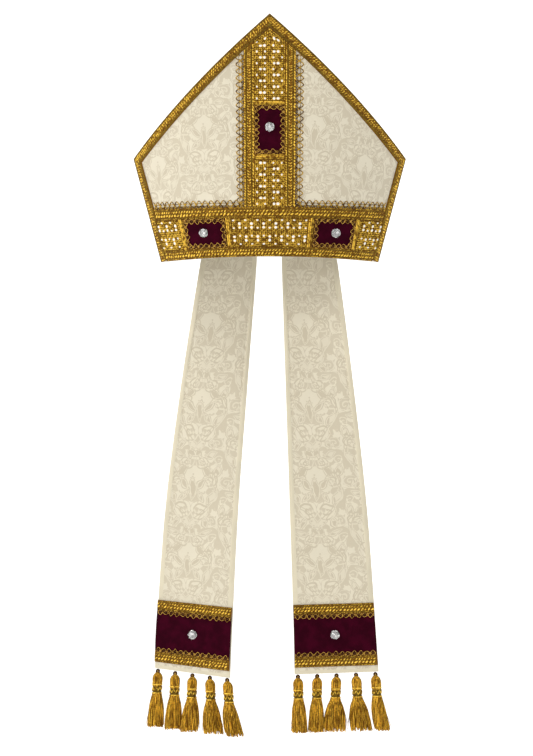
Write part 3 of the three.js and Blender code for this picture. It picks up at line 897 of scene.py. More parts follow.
def braid(name, start, end, width, place, thickness=1.0, pattern="rope"):
    """A woven braid: rows of bright slanting stitches between dark cords, on a base in the ground colour;
    the cords and the base are painted shade.
    """
    top, overhang = GAP + thickness, 0.12
    pieces = [strip(f"{name}_base", start, end, -overhang, width + overhang, place, thickness,
                    "ground")]
    rng = np.random.default_rng(len(name))
    for share, slant, pitch, length, half, height, lift, finish in BRAID_ROWS[pattern]:
        t = np.arange(start + pitch / 2, end - pitch / 3, pitch)
        along, across, turn, longer, fuller = rng.normal(0, 1, (5, len(t))).clip(-1.6, 1.6)
        placed = np.stack([
            t + 0.22 * along, share * width + 0.11 * across, np.full_like(t, top + lift - 0.25),
            slant + 0.16 * turn, length * (1 + 0.13 * longer), half * (1 + 0.12 * fuller),
            height * (1 + 0.12 * fuller),
        ], axis=1)
        pieces.append(lay(repeat(f"{name}_{share}", stitch_shape(), placed, finish), place))
    t = np.arange(start + 0.4, end - 0.4, 2.0)
    cords = [path(t, share * width, top + 0.05) for share in BRAID_CORDS[pattern]]
    pieces.append(lay(threads(f"{name}_cords", cords, CORD_RADIUS, "cord"), place))
    return join(name, pieces)


def bar(name, start, end, width, place):
    """A narrow braid of two ropes either side of a dark groove."""
    overhang, thickness = 0.1, 1.2
    # The base takes the ground colour: painted shade in the groove and between the stitches.
    pieces = [strip(f"{name}_base", start, end, -overhang, width + overhang, place, thickness,
                    "ground")]
    for share, slant, finish in ((0.2, 0.45, "edge"), (0.5, -0.5, "braid"), (0.8, 0.45, "braid")):
        stitches = [(t, share * width, GAP + thickness + 0.15, slant, 1.15, 0.13 * width, 0.55)
                    for t in np.arange(start + 0.8, end - 0.3, 1.7)]
        pieces.append(lay(repeat(f"{name}_{share}", stitch_shape(), stitches, finish), place))
    return join(name, pieces)


def lace(name, start, end, width, place):
    """Openwork lace: crossing strands round windows of the cloth, on a shaded ground."""
    pieces = [strip(f"{name}_ground", start, end, 0.1, width - 0.1, place, 0.5, "ground")]

    def inside(t, c, margin):
        return (t > start + margin) & (t < end - margin) & (c > margin) & (c < width - margin)

    def add(part, make, *shapes, **settings):
        pieces.append(lay(make(f"{name}_{part}", *shapes, **settings), place))

    windows, rings = lace_windows(name, start, end, width / 2, inside)
    if windows:
        add("windows", repeat, stitch_shape(8, 6), windows, "window")
        add("rings", threads, rings, 0.42, "lace", closed=True)
    lumps = lace_lumps(start, end, width, windows, inside)
    if lumps:
        add("lumps", repeat, stitch_shape(5, 3), lumps, "lace")
    t = np.arange(start + 0.4, end - 0.3, 1.0)
    turn = 4 * math.pi * t / LACE_REPEAT
    strands, crossing = [], []
    lines = int(width / 2.9)
    for k in range(lines):
        phase = math.pi * (k % 2)
        c = (k + 0.5) * width / lines + 1.05 * np.sin(turn + phase)
        z = GAP + 0.85 + 0.35 * np.sin(2 * turn + phase)
        strands += runs(path(t, c, z), inside(t, c, 0.4))
    for k in range(6):
        c = width * ((k + 0.5) / 6 + (2 * triangle_wave(t / LACE_REPEAT + k / 3) - 1) / 12)
        z = GAP + 0.8 + 0.35 * np.cos(2 * turn)
        crossing += runs(path(t, c, z), inside(t, c, 0.4))
    add("strands", threads, strands, 0.40, "edge")
    add("crossing", threads, crossing, 0.36, "braid")
    return join(name, pieces)


def lace_windows(name, start, end, middle, inside):
    """Rows of repeat() for the cloth in the windows, and the thread round each of them."""
    windows, rings = [], []
    rng = random.Random(name)
    around = circle(9)
    first = math.floor(start / LACE_REPEAT) - 1
    for index in range(first, math.ceil(end / LACE_REPEAT) + 1):
        for along, across, half_length, half_width in LACE_WINDOWS:
            t, c = index * LACE_REPEAT + along, middle + across
            if not inside(np.array(t), np.array(c), 1.2):
                continue
            half_length *= rng.uniform(0.85, 1.08)
            half_width *= rng.uniform(0.85, 1.08)
            windows.append((t, c, GAP + 1.30, rng.uniform(-0.2, 0.2), half_length, half_width, 0.50))
            rings.append(path(t + (half_length + 0.3) * np.cos(around),
                              c + (half_width + 0.3) * np.sin(around), GAP + 0.95))
    return windows, rings


def lace_lumps(start, end, width, windows, inside):
    """Rows of repeat() for the raised stitches that fill the lace between its windows."""
    lumps = []
    for row, t in enumerate(np.arange(start + 1.2, end - 1.0, LACE_REPEAT / 6)):
        for column, c in enumerate(np.arange(1.3, width - 0.9, 2.3)):
            near = [abs(t - w[0]) < w[4] + 0.7 and abs(c - w[1]) < w[5] + 0.6 for w in windows]
            if inside(np.array(t), np.array(c), 1.0) and not any(near):
                slant = 0.8 if (row + column) % 2 else -0.8
                lumps.append((t, c, GAP + 1.25, slant, 1.25, 0.52, 0.50))
    return lumps


def runs(points, keep):
    """The stretches of a thread whose points are kept, each three points or longer."""
    cuts = np.flatnonzero(np.diff(keep.astype(int))) + 1
    stretches = zip(np.split(points, cuts), np.split(keep, cuts))
    return [stretch for stretch, kept in stretches if len(stretch) > 2 and kept[0]]


def picots(name, start, end, pitch, reach, place):
    """A looped edging: pairs of threads that swing out from c = 0 and cross each other."""
    lift, radius = 0.7, 0.58
    t = np.arange(start + 0.3, end - 0.3, pitch / 10)

    def pair(low, high):
        made = []
        for shift in (0.0, math.pi):
            theta = math.pi * (t - start) / pitch + shift
            arch = 0.5 - 0.5 * np.cos(theta)
            peak = np.abs(((theta / math.pi) % 2) - 1)
            c = reach * (low + (high - low) * (0.75 * arch + 0.25 * (1 - peak)))
            made.append(path(t, c, lift + 0.45 * np.cos(theta)))
        return made

    loops = threads(name, pair(-0.10, 1.0), radius, "picot")
    nested = threads(f"{name}_nested", pair(0.20, 0.64), 0.55 * radius, "picot")
    t = np.arange(start + 0.3, end - 0.3, 0.7)
    foot = path(t, 0.26 * reach * triangle_wave(t / 2.7), lift)
    root = threads(f"{name}_root", [foot], 0.32, "fringe")
    return lay(join(name, [loops, nested, root]), place)


def frill(name, start, end, pitch, place):
    """A single gold thread that loops in over the velvet, above a dark fringe that is painted shade under
    the loops.
    """
    reach, lift = LOOP_REACH, GAP + 1.4
    theta = np.arange(0, 2 * math.pi * (end - start) / pitch, 0.45)
    t = start + pitch * theta / (2 * math.pi) - 0.12 * pitch * np.sin(theta + 0.4 * np.sin(theta / 3))
    swing = reach * (0.92 + 0.12 * np.sin(1.7 * theta + start))
    peak = 1 - np.abs(((theta / math.pi) % 2) - 1)
    c = swing * (0.55 * (0.5 - 0.5 * np.cos(theta)) + 0.45 * peak) + 0.3
    z = lift + 0.5 + 0.3 * np.sin(2 * theta)
    lower = 0.62 * reach * (0.5 + 0.5 * np.cos(theta)) + 0.2
    gold = threads(f"{name}_gold", [path(t, c, z), path(t, lower, z - 0.2)], 0.30, "loop")
    t = np.arange(start, end, 0.6)
    fringe = [path(t, 0.2 + 0.62 * reach * triangle_wave(t / 3.1 + shift), lift + 0.1 + 0.2 * np.sin(3 * t))
              for shift in (0.0, 0.5)]
    dark = threads(f"{name}_dark", fringe, 0.42, "fringe")
    return [lay(gold, place), lay(dark, place)]


def velvet(name, start, end, height, place, sides=True):
    """A velvet patch, c from 0 to its height, with gold loops reaching in over its edges."""
    pieces = [strip(f"{name}_pile", start, end, 0.0, height, place, 0.9, "velvet", crown=0.4)]
    # First, last and place of each edge, where c runs inwards from it.
    edges = [
        (start, end, place),
        (start, end, lambda t, c, o: place(start + end - t, height - c, o)),
    ]
    if sides:
        edges += [
            (0.0, height, lambda t, c, o: place(end - c, t, o)),
            (0.0, height, lambda t, c, o: place(start + c, height - t, o)),
        ]
    for number, (first, last, edge) in enumerate(edges):
        length = last - first - 2
        pitch = length / max(2, round(length / LOOP_PITCH))
        pieces += frill(f"{name}_loops_{number}", first + 1, last - 1, pitch, edge)
    return join(name, pieces)


# --- Lappets ---------------------------------------------------------------------------------


def drop_at(v):
    """The drop at a share of the way up the whole lappet, tuck and all."""
    return LAPPET_LENGTH - (LAPPET_LENGTH + LAPPET_TUCK) * v


class Lappet:
    """The middle surface of one hanging lappet, in millimetres."""

    def __init__(self, face, label):
        self.face, self.table = face, LAPPETS[label]
        self.side, self.skew = self.table["side"], self.table["skew"]

    def value(self, column, drop):
        """A column of the table at a drop, on a smooth curve through its rows."""
        xs = np.array(self.table["drop"], dtype=float)
        ys = np.array(self.table[column], dtype=float)
        before = np.clip(np.arange(len(xs)) - 1, 0, None)
        after = np.clip(np.arange(len(xs)) + 1, None, len(xs) - 1)
        slopes = (ys[after] - ys[before]) / (xs[after] - xs[before])
        leg = np.clip(np.searchsorted(xs, drop) - 1, 0, len(xs) - 2)
        span = xs[leg + 1] - xs[leg]
        t = (drop - xs[leg]) / span
        return (ys[leg] * (1 + 2 * t) * (1 - t) ** 2 + slopes[leg] * span * t * (1 - t) ** 2
                + ys[leg + 1] * t * t * (3 - 2 * t) - slopes[leg + 1] * span * t * t * (1 - t))

    def wall_depth(self, x, z, inset):
        half = self.face.half_width(z) - inset / math.sin(self.face.angle)
        sine = np.clip(x / half, -1, 1) * math.sin(self.face.angle)
        bulge = (np.sqrt(1 - sine**2) - math.cos(self.face.angle)) / (1 - math.cos(self.face.angle))
        return SEAM + (self.face.depth + self.face.lean * z - inset) * bulge

    def middle(self, share, drop):
        share, drop = np.broadcast_arrays(share, drop)
        outward = 1 - share if self.side < 0 else share
        inner, outer = self.value("inner", drop), self.value("outer", drop)
        across = inner + (outer - inner) * outward
        z = -drop + self.skew * (outward - 0.5) * np.clip(drop / LAPPET_LENGTH, 0, None)
        inset = WALL + GAP + LAPPET_THICKNESS / 2 + 0.1
        held = self.wall_depth(across, np.maximum(z, -LAPPET_TUCK), inset)
        free = self.value("depth", drop) + (across - (inner + outer) / 2) * np.tan(
            np.radians(self.value("turn", drop)))
        t = np.clip((drop - 5.0) / 145.0, 0, 1)
        freedom = t * t * (3 - 2 * t)
        return np.stack([self.side * across, held + (free - held) * freedom, z], axis=-1)

    def place(self, share, drop, out):
        """A point out from the front of the middle surface."""
        normal = normal_to(self.middle, share, drop, 0.002, -1.0)
        return self.middle(share, drop) + normal * np.asarray(out)[..., None]

    def padded(self, u, v, w):
        """The cloth of the padded lappet: full edges, rolled beside a stitched groove."""
        drop = drop_at(v)
        edge = np.abs(2 * u - 1)
        full = LAPPET_THICKNESS / 2 * np.sqrt(np.clip(1 - edge**18, 0.06, 1))
        roll, groove = (height * np.exp(-(((edge - at) / width) ** 2)) for height, at, width in LAPPET_EDGE)
        puff = 0.25 * np.sin(drop / 31.0) * np.sin(drop / 13.0 + 5 * u)
        loose = np.clip((400 - drop) / 40, 0, 1) * np.clip(drop / 20, 0, 1)
        return self.place(u, drop, np.where(w > 0.5, full + loose * (roll - groove + puff), -full))

    def flat_width(self, drop):
        return np.interp(drop, (0, LAPPET_LENGTH), (LAPPET_TOP_WIDTH, LAPPET_HEM_WIDTH))

    def flat(self, u, v):
        """Where the pattern of the cloth lies."""
        drop = drop_at(v)
        return (u - 0.5) * self.flat_width(drop) + PATTERN_ORIGIN, PATTERN_ORIGIN - drop

    def face_edges(self, cloth):
        """Gives the folded side edges and the hem their plain cloth."""
        uv = cloth.data.uv_layers.active.data
        for polygon in cloth.data.polygons:
            spots = np.array([uv[loop].uv for loop in polygon.loop_indices]) / UV_SCALE
            across = np.abs(spots[:, 0] - PATTERN_ORIGIN).mean()
            drop = PATTERN_ORIGIN - spots[:, 1].mean()
            if across > self.flat_width(drop) / 2 - LAPPET_FOLD or drop > LAPPET_HEM:
                polygon.material_index = 1

    def width(self, drop):
        ends = self.middle(np.array([0.0, 1.0]), np.array([drop, drop]))
        return float(np.linalg.norm(ends[1] - ends[0]))

    def band(self, foot):
        """place(t, c, o) for a band whose lower edge hangs at the drop foot."""
        width = self.width(foot)
        front = LAPPET_THICKNESS / 2
        return lambda t, c, o: self.place(t / width, foot - c, front + o)


# --- Operators ---------------------------------------------------------------------------------


class MITRE_OT_panels(bpy.types.Operator):
    """Model the two brocade walls of the hat"""

    bl_idname = "mitre.panels"
    bl_label = "Brocade panels"

    def execute(self, context):
        face = Face(context.scene.mitre_sizes)

        def spot(u, v, w):
            s = 2 * u - 1
            foot = face.band_height(s, RIM_ARCH)
            z = foot + (face.edge_height(s) - foot) * v
            return face.point(s, z, WALL * (w - 1))

        def flat(u, v):
            s = 2 * u - 1
            z = face.edge_height(s) * v
            return s * face.half_arc(z) + PATTERN_ORIGIN, z + PATTERN_ORIGIN

        for side, label in ((1, "front_panel"), (-1, "back_panel")):
            piece = block(f"{label}_brocade", 72, 40, facing(spot, side), flat, rounding=0.5)
            dress(piece, "brocade", "lining")
            for polygon in piece.data.polygons:
                polygon.material_index = int(polygon.normal.y * side > 0.1)
            finish_piece(piece, "brocade", label)
        return {"FINISHED"}


class MITRE_OT_gusset(bpy.types.Operator):
    """Model the soft fold of cloth between the horns"""

    bl_idname = "mitre.gusset"
    bl_label = "Gusset"

    def execute(self, context):
        face = Face(context.scene.mitre_sizes)
        thickness, reach, rounding, sag = 1.5, 0.95, 0.12, 24
        round_top = math.hypot(1, rounding) - rounding

        def middle(u, v):
            s = reach * (2 * u - 1)
            across = 2 * v - 1
            top = face.edge_height(s) - 4.0
            hem = face.point(s, top, -(WALL + GAP + thickness / 2 + 0.1))
            crease = face.shoulder_height - 2 + sag * np.cos(s * math.pi / 2) ** 2
            climb = (np.hypot(across, rounding) - rounding) / round_top
            slack = (1 - across**2) * np.cos(s * math.pi / 2) ** 2
            ripple = 1.6 * slack * np.sin(s * 19 + 2.5 * np.abs(across)) * np.abs(across)
            return np.stack([
                hem[..., 0], -hem[..., 1] * across, crease + (top - crease) * climb + ripple,
            ], axis=-1)

        def spot(u, v, w):
            normal = normal_to(middle, u, v, 1e-3, 1e-3)
            return middle(u, v) + normal * ((w - 0.5) * thickness)[..., None]

        piece = dress(block("gusset_cloth", 72, 36, spot, rounding=0.3), "lining")
        finish_piece(piece, "lining", "gusset")
        way_over = middle(np.full(60, 0.5), np.linspace(0, 1, 60))
        return {"FINISHED"}


class MITRE_OT_bindings(bpy.types.Operator):
    """Lay the gold braid that binds the slanting edges and side seams"""

    bl_idname = "mitre.bindings"
    bl_label = "Bindings"

    def execute(self, context):
        face = Face(context.scene.mitre_sizes)
        length = float(face.edge_run[-1])

        def place(t, c, o):
            return face.binding_point(t, BINDING_WIDTH - c, o)

        for side, label in ((1, "front_binding"), (-1, "back_binding")):
            piece = braid(f"{label}_woven", -length, length, BINDING_WIDTH, facing(place, side), 1.3,
                          pattern="bound")
            finish_piece(piece, "gold_braid", label)
        return {"FINISHED"}


class MITRE_OT_titulus(bpy.types.Operator):
    """Lay the upright bands of both faces"""

    bl_idname = "mitre.titulus"
    bl_label = "Upright bands"

    def execute(self, context):
        face = Face(context.scene.mitre_sizes)

        def upright(right):
            """place(t, c, o) with t the height and c leftwards from the strip's right edge."""
            def place(t, c, o):
                return face.point((right - c) / face.half_arc(t), t, o)
            return place

        def tapered(right, foot):
            """The same, with the top cut along the binding."""
            def place(t, c, o):
                x = right - c
                top = face.binding_foot(x / face.half_arc(262.0)) - GAP
                share = (t - foot) / (TITULUS_TOP - foot)
                bend = np.clip((share - 0.8) / 0.2, 0, 1)
                height = t + (top - TITULUS_TOP) * bend
                return face.point(x / face.half_arc(height), height, o)
            return place

        def beyond(edge):
            """place(t, c, o) with t the height and c outwards from an edge of the band."""
            def place(t, c, o):
                return face.point((edge + math.copysign(1, edge) * c) / face.half_arc(t), t, o)
            return place

        def level(foot):
            """place(t, c, o) with t across the face and c the height above the foot."""
            def place(t, c, o):
                return face.point(t / face.half_arc(foot + c), foot + c, o)
            return place

        half = TITULUS_LACE_HALF
        picot_end = face.binding_foot(TITULUS_HALF / face.half_arc(250.0)) - 1
        picot_run = picot_end - BAND_TOP
        pitch = picot_run / round(picot_run / PICOT_PITCH)
        for side, prefix in ((1, ""), (-1, "back_")):
            for name, right, edge in (
                ("right", TITULUS_HALF, TITULUS_HALF),
                ("left", -half, -TITULUS_HALF),
            ):
                node = f"{prefix}titulus_braid_{name}"
                body = braid(f"{node}_woven", BAND_TOP + GAP, TITULUS_TOP, TITULUS_HALF - half,
                             facing(tapered(right, BAND_TOP), side), pattern="plait")
                loops = picots(f"{node}_loops", BAND_TOP, picot_end - 4, pitch, PICOT_REACH,
                               facing(beyond(edge), side))
                finish_piece(join(f"{node}_woven", [body, loops]), "gold_braid", node)
        for node, foot, top, place in (
            ("titulus_lace_lower", BAND_TOP, LOWER_BAR, upright(half)),
            ("titulus_lace_upper", UPPER_BAR_TOP, TITULUS_TOP, tapered(half, UPPER_BAR_TOP)),
            ("back_titulus_lace", BAND_TOP, TITULUS_TOP, facing(tapered(half, BAND_TOP), -1)),
        ):
            finish_piece(lace(f"{node}_openwork", foot, top, 2 * half, place), "gold_lace", node)
        for node, foot, top in (("titulus_bar_lower", LOWER_BAR, VELVET_FOOT),
                                ("titulus_bar_upper", VELVET_TOP, UPPER_BAR_TOP)):
            finish_piece(bar(f"{node}_woven", -half, half, top - foot, level(foot)), "gold_braid", node)
        patch = velvet("titulus_velvet_pile", VELVET_FOOT, VELVET_TOP, 2 * half, upright(half))
        finish_piece(patch, "velvet", "titulus_velvet")
        return {"FINISHED"}


class MITRE_OT_circulus(bpy.types.Operator):
    """Lay the bands round the rim of both faces"""

    bl_idname = "mitre.circulus"
    bl_label = "Rim bands"

    def execute(self, context):
        face = Face(context.scene.mitre_sizes)
        arc = float(face.half_arc(BAND_MIDDLE))
        end = float(face.band_end()) * arc

        def level(foot):
            def place(t, c, o):
                s = t / arc
                return face.point(s, face.band_height(s, foot + c), o)
            return place

        for side, prefix in ((1, ""), (-1, "back_")):
            for name, foot, top in (("lower", BAND_FOOT, BAND_LOW), ("upper", BAND_HIGH, BAND_TOP)):
                node = f"{prefix}circulus_braid_{name}"
                pieces = [braid(f"{node}_woven", -end, end, top - foot, facing(level(foot), side))]
                if name == "upper":
                    pitch = 2 * end / round(2 * end / RIM_PICOT_PITCH)
                    pieces.append(picots(f"{node}_loops", -end, end, pitch, RIM_PICOT_REACH,
                                         facing(level(top), side)))
                finish_piece(join(f"{node}_woven", pieces), "gold_braid", node)
        height = BAND_HIGH - BAND_LOW
        place = level(BAND_LOW)

        def run_at(x):
            """The way round the face from its middle to a distance from the middle plane."""
            return float(face.share(x, BAND_MIDDLE)) * arc

        def add_lace(node, first, last, place):
            finish_piece(lace(f"{node}_openwork", first, last, height, place), "gold_lace", node)

        centre = run_at(CENTRE_LACE_END)
        add_lace("back_circulus_lace", -end, end, facing(place, -1))
        add_lace("circulus_lace_centre", -centre, centre, place)
        for side, label in ((-1, "left"), (1, "right")):
            velvet_start, velvet_end, lace_start = (
                side * run_at(x) for x in (VELVET_START, VELVET_END, SIDE_LACE_START))
            add_lace(f"circulus_lace_{label}", *sorted((lace_start, side * end)), place)
            patch = velvet(f"circulus_velvet_{label}_pile", *sorted((velvet_start, velvet_end)),
                           height, place)
            finish_piece(patch, "velvet", f"circulus_velvet_{label}")
            for ending, ends in (("inner", (side * centre, velvet_start)),
                                 ("outer", (velvet_end, lace_start))):
                first, last = sorted(ends)
                node = f"circulus_bar_{label}_{ending}"

                def upright(t, c, o, last=last):
                    """t runs up the band and c leftwards from the bar's right edge."""
                    return place(last - c, t, o)

                finish_piece(bar(f"{node}_woven", 0.1, height - 0.1, last - first, upright),
                             "gold_braid", node)
        return {"FINISHED"}


class MITRE_OT_lappets(bpy.types.Operator):
    """Model the two padded lappets with their bands"""

    bl_idname = "mitre.lappets"
    bl_label = "Lappets"

    def execute(self, context):
        face = Face(context.scene.mitre_sizes)
        for label in LAPPETS:
            lappet = Lappet(face, label)
            cloth = block(f"lappet_{label}_padded", 48, 120, lappet.padded, lappet.flat)
            lappet.face_edges(dress(cloth, "brocade", "facing"))
            finish_piece(cloth, "brocade", f"lappet_{label}")
            for name, (top, foot) in LAPPET_BANDS.items():
                place = lappet.band(foot)
                width = lappet.width(foot)
                node = f"lappet_{name}_{label}"
                if name == "velvet":
                    piece = velvet(f"{node}_pile", GAP, width - GAP, foot - top, place, sides=False)
                    finish_piece(piece, "velvet", node)
                else:
                    piece = braid(f"{node}_woven", 0.2, width - 0.2, foot - top, place)
                    finish_piece(piece, "gold_braid", node)
        return {"FINISHED"}


class MITRE_OT_stones(bpy.types.Operator):
    """Cut the clear stones and turn their cups"""

    bl_idname = "mitre.stones"
    bl_label = "Stones"

    def execute(self, context):
        for node in sorted(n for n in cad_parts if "stone" in n and not n.endswith("setting")):
            low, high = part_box(node)
            self.make(node, (low + high) / 2, self.outward(node))
        return {"FINISHED"}

    def outward(self, node):
        """The way that a stone faces: from its cup's middle to its own."""
        low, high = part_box(node)
        cup_low, cup_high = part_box(f"{node}_setting")
        return ((low + high) / 2 - (cup_low + cup_high) / 2).normalized()

    def make(self, node, at, outward):
        turn = Matrix.Translation(at) @ outward.to_track_quat("Z", "Y").to_matrix().to_4x4()
        for piece, slot, stands_for in (
            (self.stone(node), "crystal", node),
            (self.cup(node), "setting", f"{node}_setting"),
        ):
            piece.data.transform(turn)
            finish_piece(piece, slot, stands_for)

    def stone(self, node):
        """A girdle of sixteen sides, with two rows of facets above it and a cone below."""
        deselect()
        bpy.ops.mesh.primitive_cylinder_add(vertices=16, radius=4.8 * MM, depth=0.9 * MM)
        stone = bpy.context.object
        stone.name = f"{node}_cut"
        select_faces(stone, lambda polygon: polygon.normal.z > 0.9)
        push(0.9, 0.78)
        push(0.55, 0.72)
        select_faces(stone, lambda polygon: polygon.normal.z < -0.9)
        push(-1.0, 0.3)
        mode("OBJECT")
        return dress(stone, "crystal")

    def cup(self, node):
        """A hollowed cup with eight claws round its rim."""
        deselect()
        bpy.ops.mesh.primitive_cylinder_add(vertices=32, radius=5.4 * MM, depth=2.0 * MM,
                                            location=(0, 0, -0.9 * MM))
        cup = bpy.context.object
        select_faces(cup, lambda polygon: polygon.normal.z > 0.9)
        bpy.ops.mesh.inset(thickness=0.45 * MM)
        push(-1.5)
        mode("OBJECT")
        bpy.ops.object.transform_apply(location=True, rotation=False, scale=False)
        apply_modifier(cup, "BEVEL", width=0.2 * MM, segments=2, limit_method="ANGLE")
        smooth(cup)
        claws = [(5.0 * math.cos(angle), 5.0 * math.sin(angle), 0.35, angle + math.pi, 0.75, 0.42, 0.55)
                 for angle in circle(8)]
        claw = repeat(f"{node}_claws", stitch_shape(8, 6), claws, "silver")
        set_corners(claw, corners(claw) * MM)
        return join(f"{node}_cup", [dress(cup, "silver"), claw])


class Tassel:
    """One tassel, in millimetres, with its top at the point that it hangs from."""

    def __init__(self, node, at, lean, flare, sway):
        self.node, self.at, self.flare, self.sway = node, at, flare, sway
        self.slope = math.tan(math.radians(lean))

    def place(self, x, y, z):
        """Leans the hanging tassel sideways, its skirt a little more than its head."""
        skirt = np.clip((-z - 30) / (TASSEL_LENGTH - 30), 0, 1)
        shift = -z * self.slope + self.sway * skirt**2
        return np.stack([self.at[0] + x + shift, self.at[1] + y, self.at[2] + z], axis=-1)

    def radius(self, down):
        skirt = [TASSEL_NECK + (self.flare - TASSEL_NECK) * share for share in TASSEL_SKIRT["share"]]
        return np.interp(down, (*TASSEL_HEAD["down"], *TASSEL_SKIRT["down"]),
                         (*TASSEL_HEAD["radius"], *skirt))

    def thread(self, part, lines, radius, finish, **settings):
        return lay(threads(f"{self.node}_{part}", lines, radius, finish, **settings), self.place)

    def pieces(self):
        rng = random.Random(self.node)
        return [self.core(), self.skirt(rng), self.strays(rng), self.cap(), *self.neck(), *self.knot()]

    def core(self):
        """A dull filling in the ground colour, painted shade between the strands, so that no light shows
        between them.
        """
        sides = 14
        around = circle(sides)
        downs = np.linspace(5, 64, 20)
        rings = [path(0.86 * self.radius(down) * np.cos(around),
                      0.60 * self.radius(down) * np.sin(around), -down) for down in downs]
        starts = np.arange(len(downs) - 1) * sides
        faces = [(a + k, a + k + sides, a + (k + 1) % sides + sides, a + (k + 1) % sides)
                 for a in starts.tolist() for k in range(sides)]
        faces.append(tuple(range(sides)))
        faces.append(tuple(reversed(range(len(starts) * sides, len(downs) * sides))))
        mesh = bpy.data.meshes.new(f"{self.node}_core")
        mesh.from_pydata(np.concatenate(rings).tolist(), [], faces)
        return lay(dress(add_object(f"{self.node}_core", mesh), "ground"), self.place)

    def skirt(self, rng):
        """Strands in three layers, each with its own wave and length."""
        strands = []
        for layer, count in TASSEL_LAYERS:
            for k in range(count):
                angle = 2 * math.pi * (k + rng.uniform(-0.35, 0.35)) / count
                spread = layer * rng.uniform(0.90, 1.07)
                down = np.linspace(TASSEL_SKIRT_TOP, TASSEL_LENGTH + rng.uniform(-5.0, 0.6), 9)
                wander = rng.uniform(-0.16, 0.16)
                wave = rng.uniform(0.2, 0.7)
                phase = rng.uniform(0, 6.3)
                turn = angle + wander * (down - 28) / 40 + 0.05 * wave * np.sin(down / 5 + phase)
                r = self.radius(down) * spread + 0.25 * wave * np.sin(down / 4.2 + phase)
                strands.append(path(r * np.cos(turn), 0.72 * r * np.sin(turn), -down))
        return self.thread("strands", strands, 0.52, "tassel")

    def strays(self, rng):
        """Fine strands that stand out from the skirt."""
        strays = []
        for _ in range(5):
            angle = rng.uniform(0, 2 * math.pi)
            down = np.linspace(34, rng.uniform(58, 68), 8)
            r = self.radius(down) * (1.0 + rng.uniform(0.1, 0.42) * ((down - 34) / 34) ** 2)
            strays.append(path(r * np.cos(angle), 0.72 * r * np.sin(angle), -down))
        return self.thread("strays", strays, 0.26, "picot")

    def cap(self):
        """Upright threads over the head, gathered at the knot."""
        down = np.linspace(4.2, 20.5, 9)
        lines = []
        for k, angle in enumerate(circle(26)):
            r = self.radius(down) * (0.98 + 0.04 * (k % 2))
            turn = angle + 0.35 * np.sin(down / 6)
            lines.append(path(r * np.cos(turn), 0.85 * r * np.sin(turn), -down))
        return self.thread("cap", lines, 0.66, "tassel")

    def neck(self):
        """Two ropes, a bright zigzag between them and the dark thread wound under it, in the cord colour:
        painted shade under the zigzag.
        """
        around = circle(36)

        def ring(across, deep, down):
            return path(across * np.cos(around), deep * np.sin(around), -down)

        zigzag = 2 * triangle_wave(around * 7 / (2 * math.pi)) - 1
        wound = [ring(5.05, 4.1, down) for down in np.arange(19.6, 27.6, 0.95)]
        ropes = [self.thread(f"ring_{down}", [ring(5.7, 4.6, down)], 0.80, "lace", closed=True,
                             round_steps=1) for down in (18.2, 28.4)]
        return [
            *ropes,
            self.thread("zigzag", [ring(5.6, 4.55, 23.3 - 2.6 * zigzag)], 0.62, "lace", closed=True),
            self.thread("wrap", wound, 0.5, "cord", closed=True),
        ]

    def knot(self):
        """A dark ring with a gold eye."""
        middle, radius = 2.5, 1.75
        around = circle(12)
        ring = path(radius * np.cos(around), 0.0, radius * np.sin(around) - middle)
        bead = repeat(f"{self.node}_eye", stitch_shape(), [(0, 0, -middle, 0, 0.8, 0.9, 0.7)], "lace")
        return [self.thread("knot", [ring], 1.15, "knot", closed=True, round_steps=1),
                lay(bead, self.place)]


class MITRE_OT_tassels(bpy.types.Operator):
    """Hang the ten tassels below the lappets"""

    bl_idname = "mitre.tassels"
    bl_label = "Tassels"

    def execute(self, context):
        face = Face(context.scene.mitre_sizes)
        for label, table in LAPPETS.items():
            lappet = Lappet(face, label)
            shapes = zip(table["lean"], table["flare"], table["sway"])
            for index, (lean, flare, sway) in enumerate(shapes):
                share = TASSEL_FIRST + TASSEL_STEP * index
                at = lappet.middle(np.array(share), np.array(LAPPET_LENGTH))
                at = at - np.array([0, 0, 2 * GAP])
                node = f"tassel_{label}_{index + 1}"
                tassel = Tassel(node, at, lean, flare, sway)
                finish_piece(join(f"{node}_strands", tassel.pieces()), "tassel_gold", node)
        return {"FINISHED"}


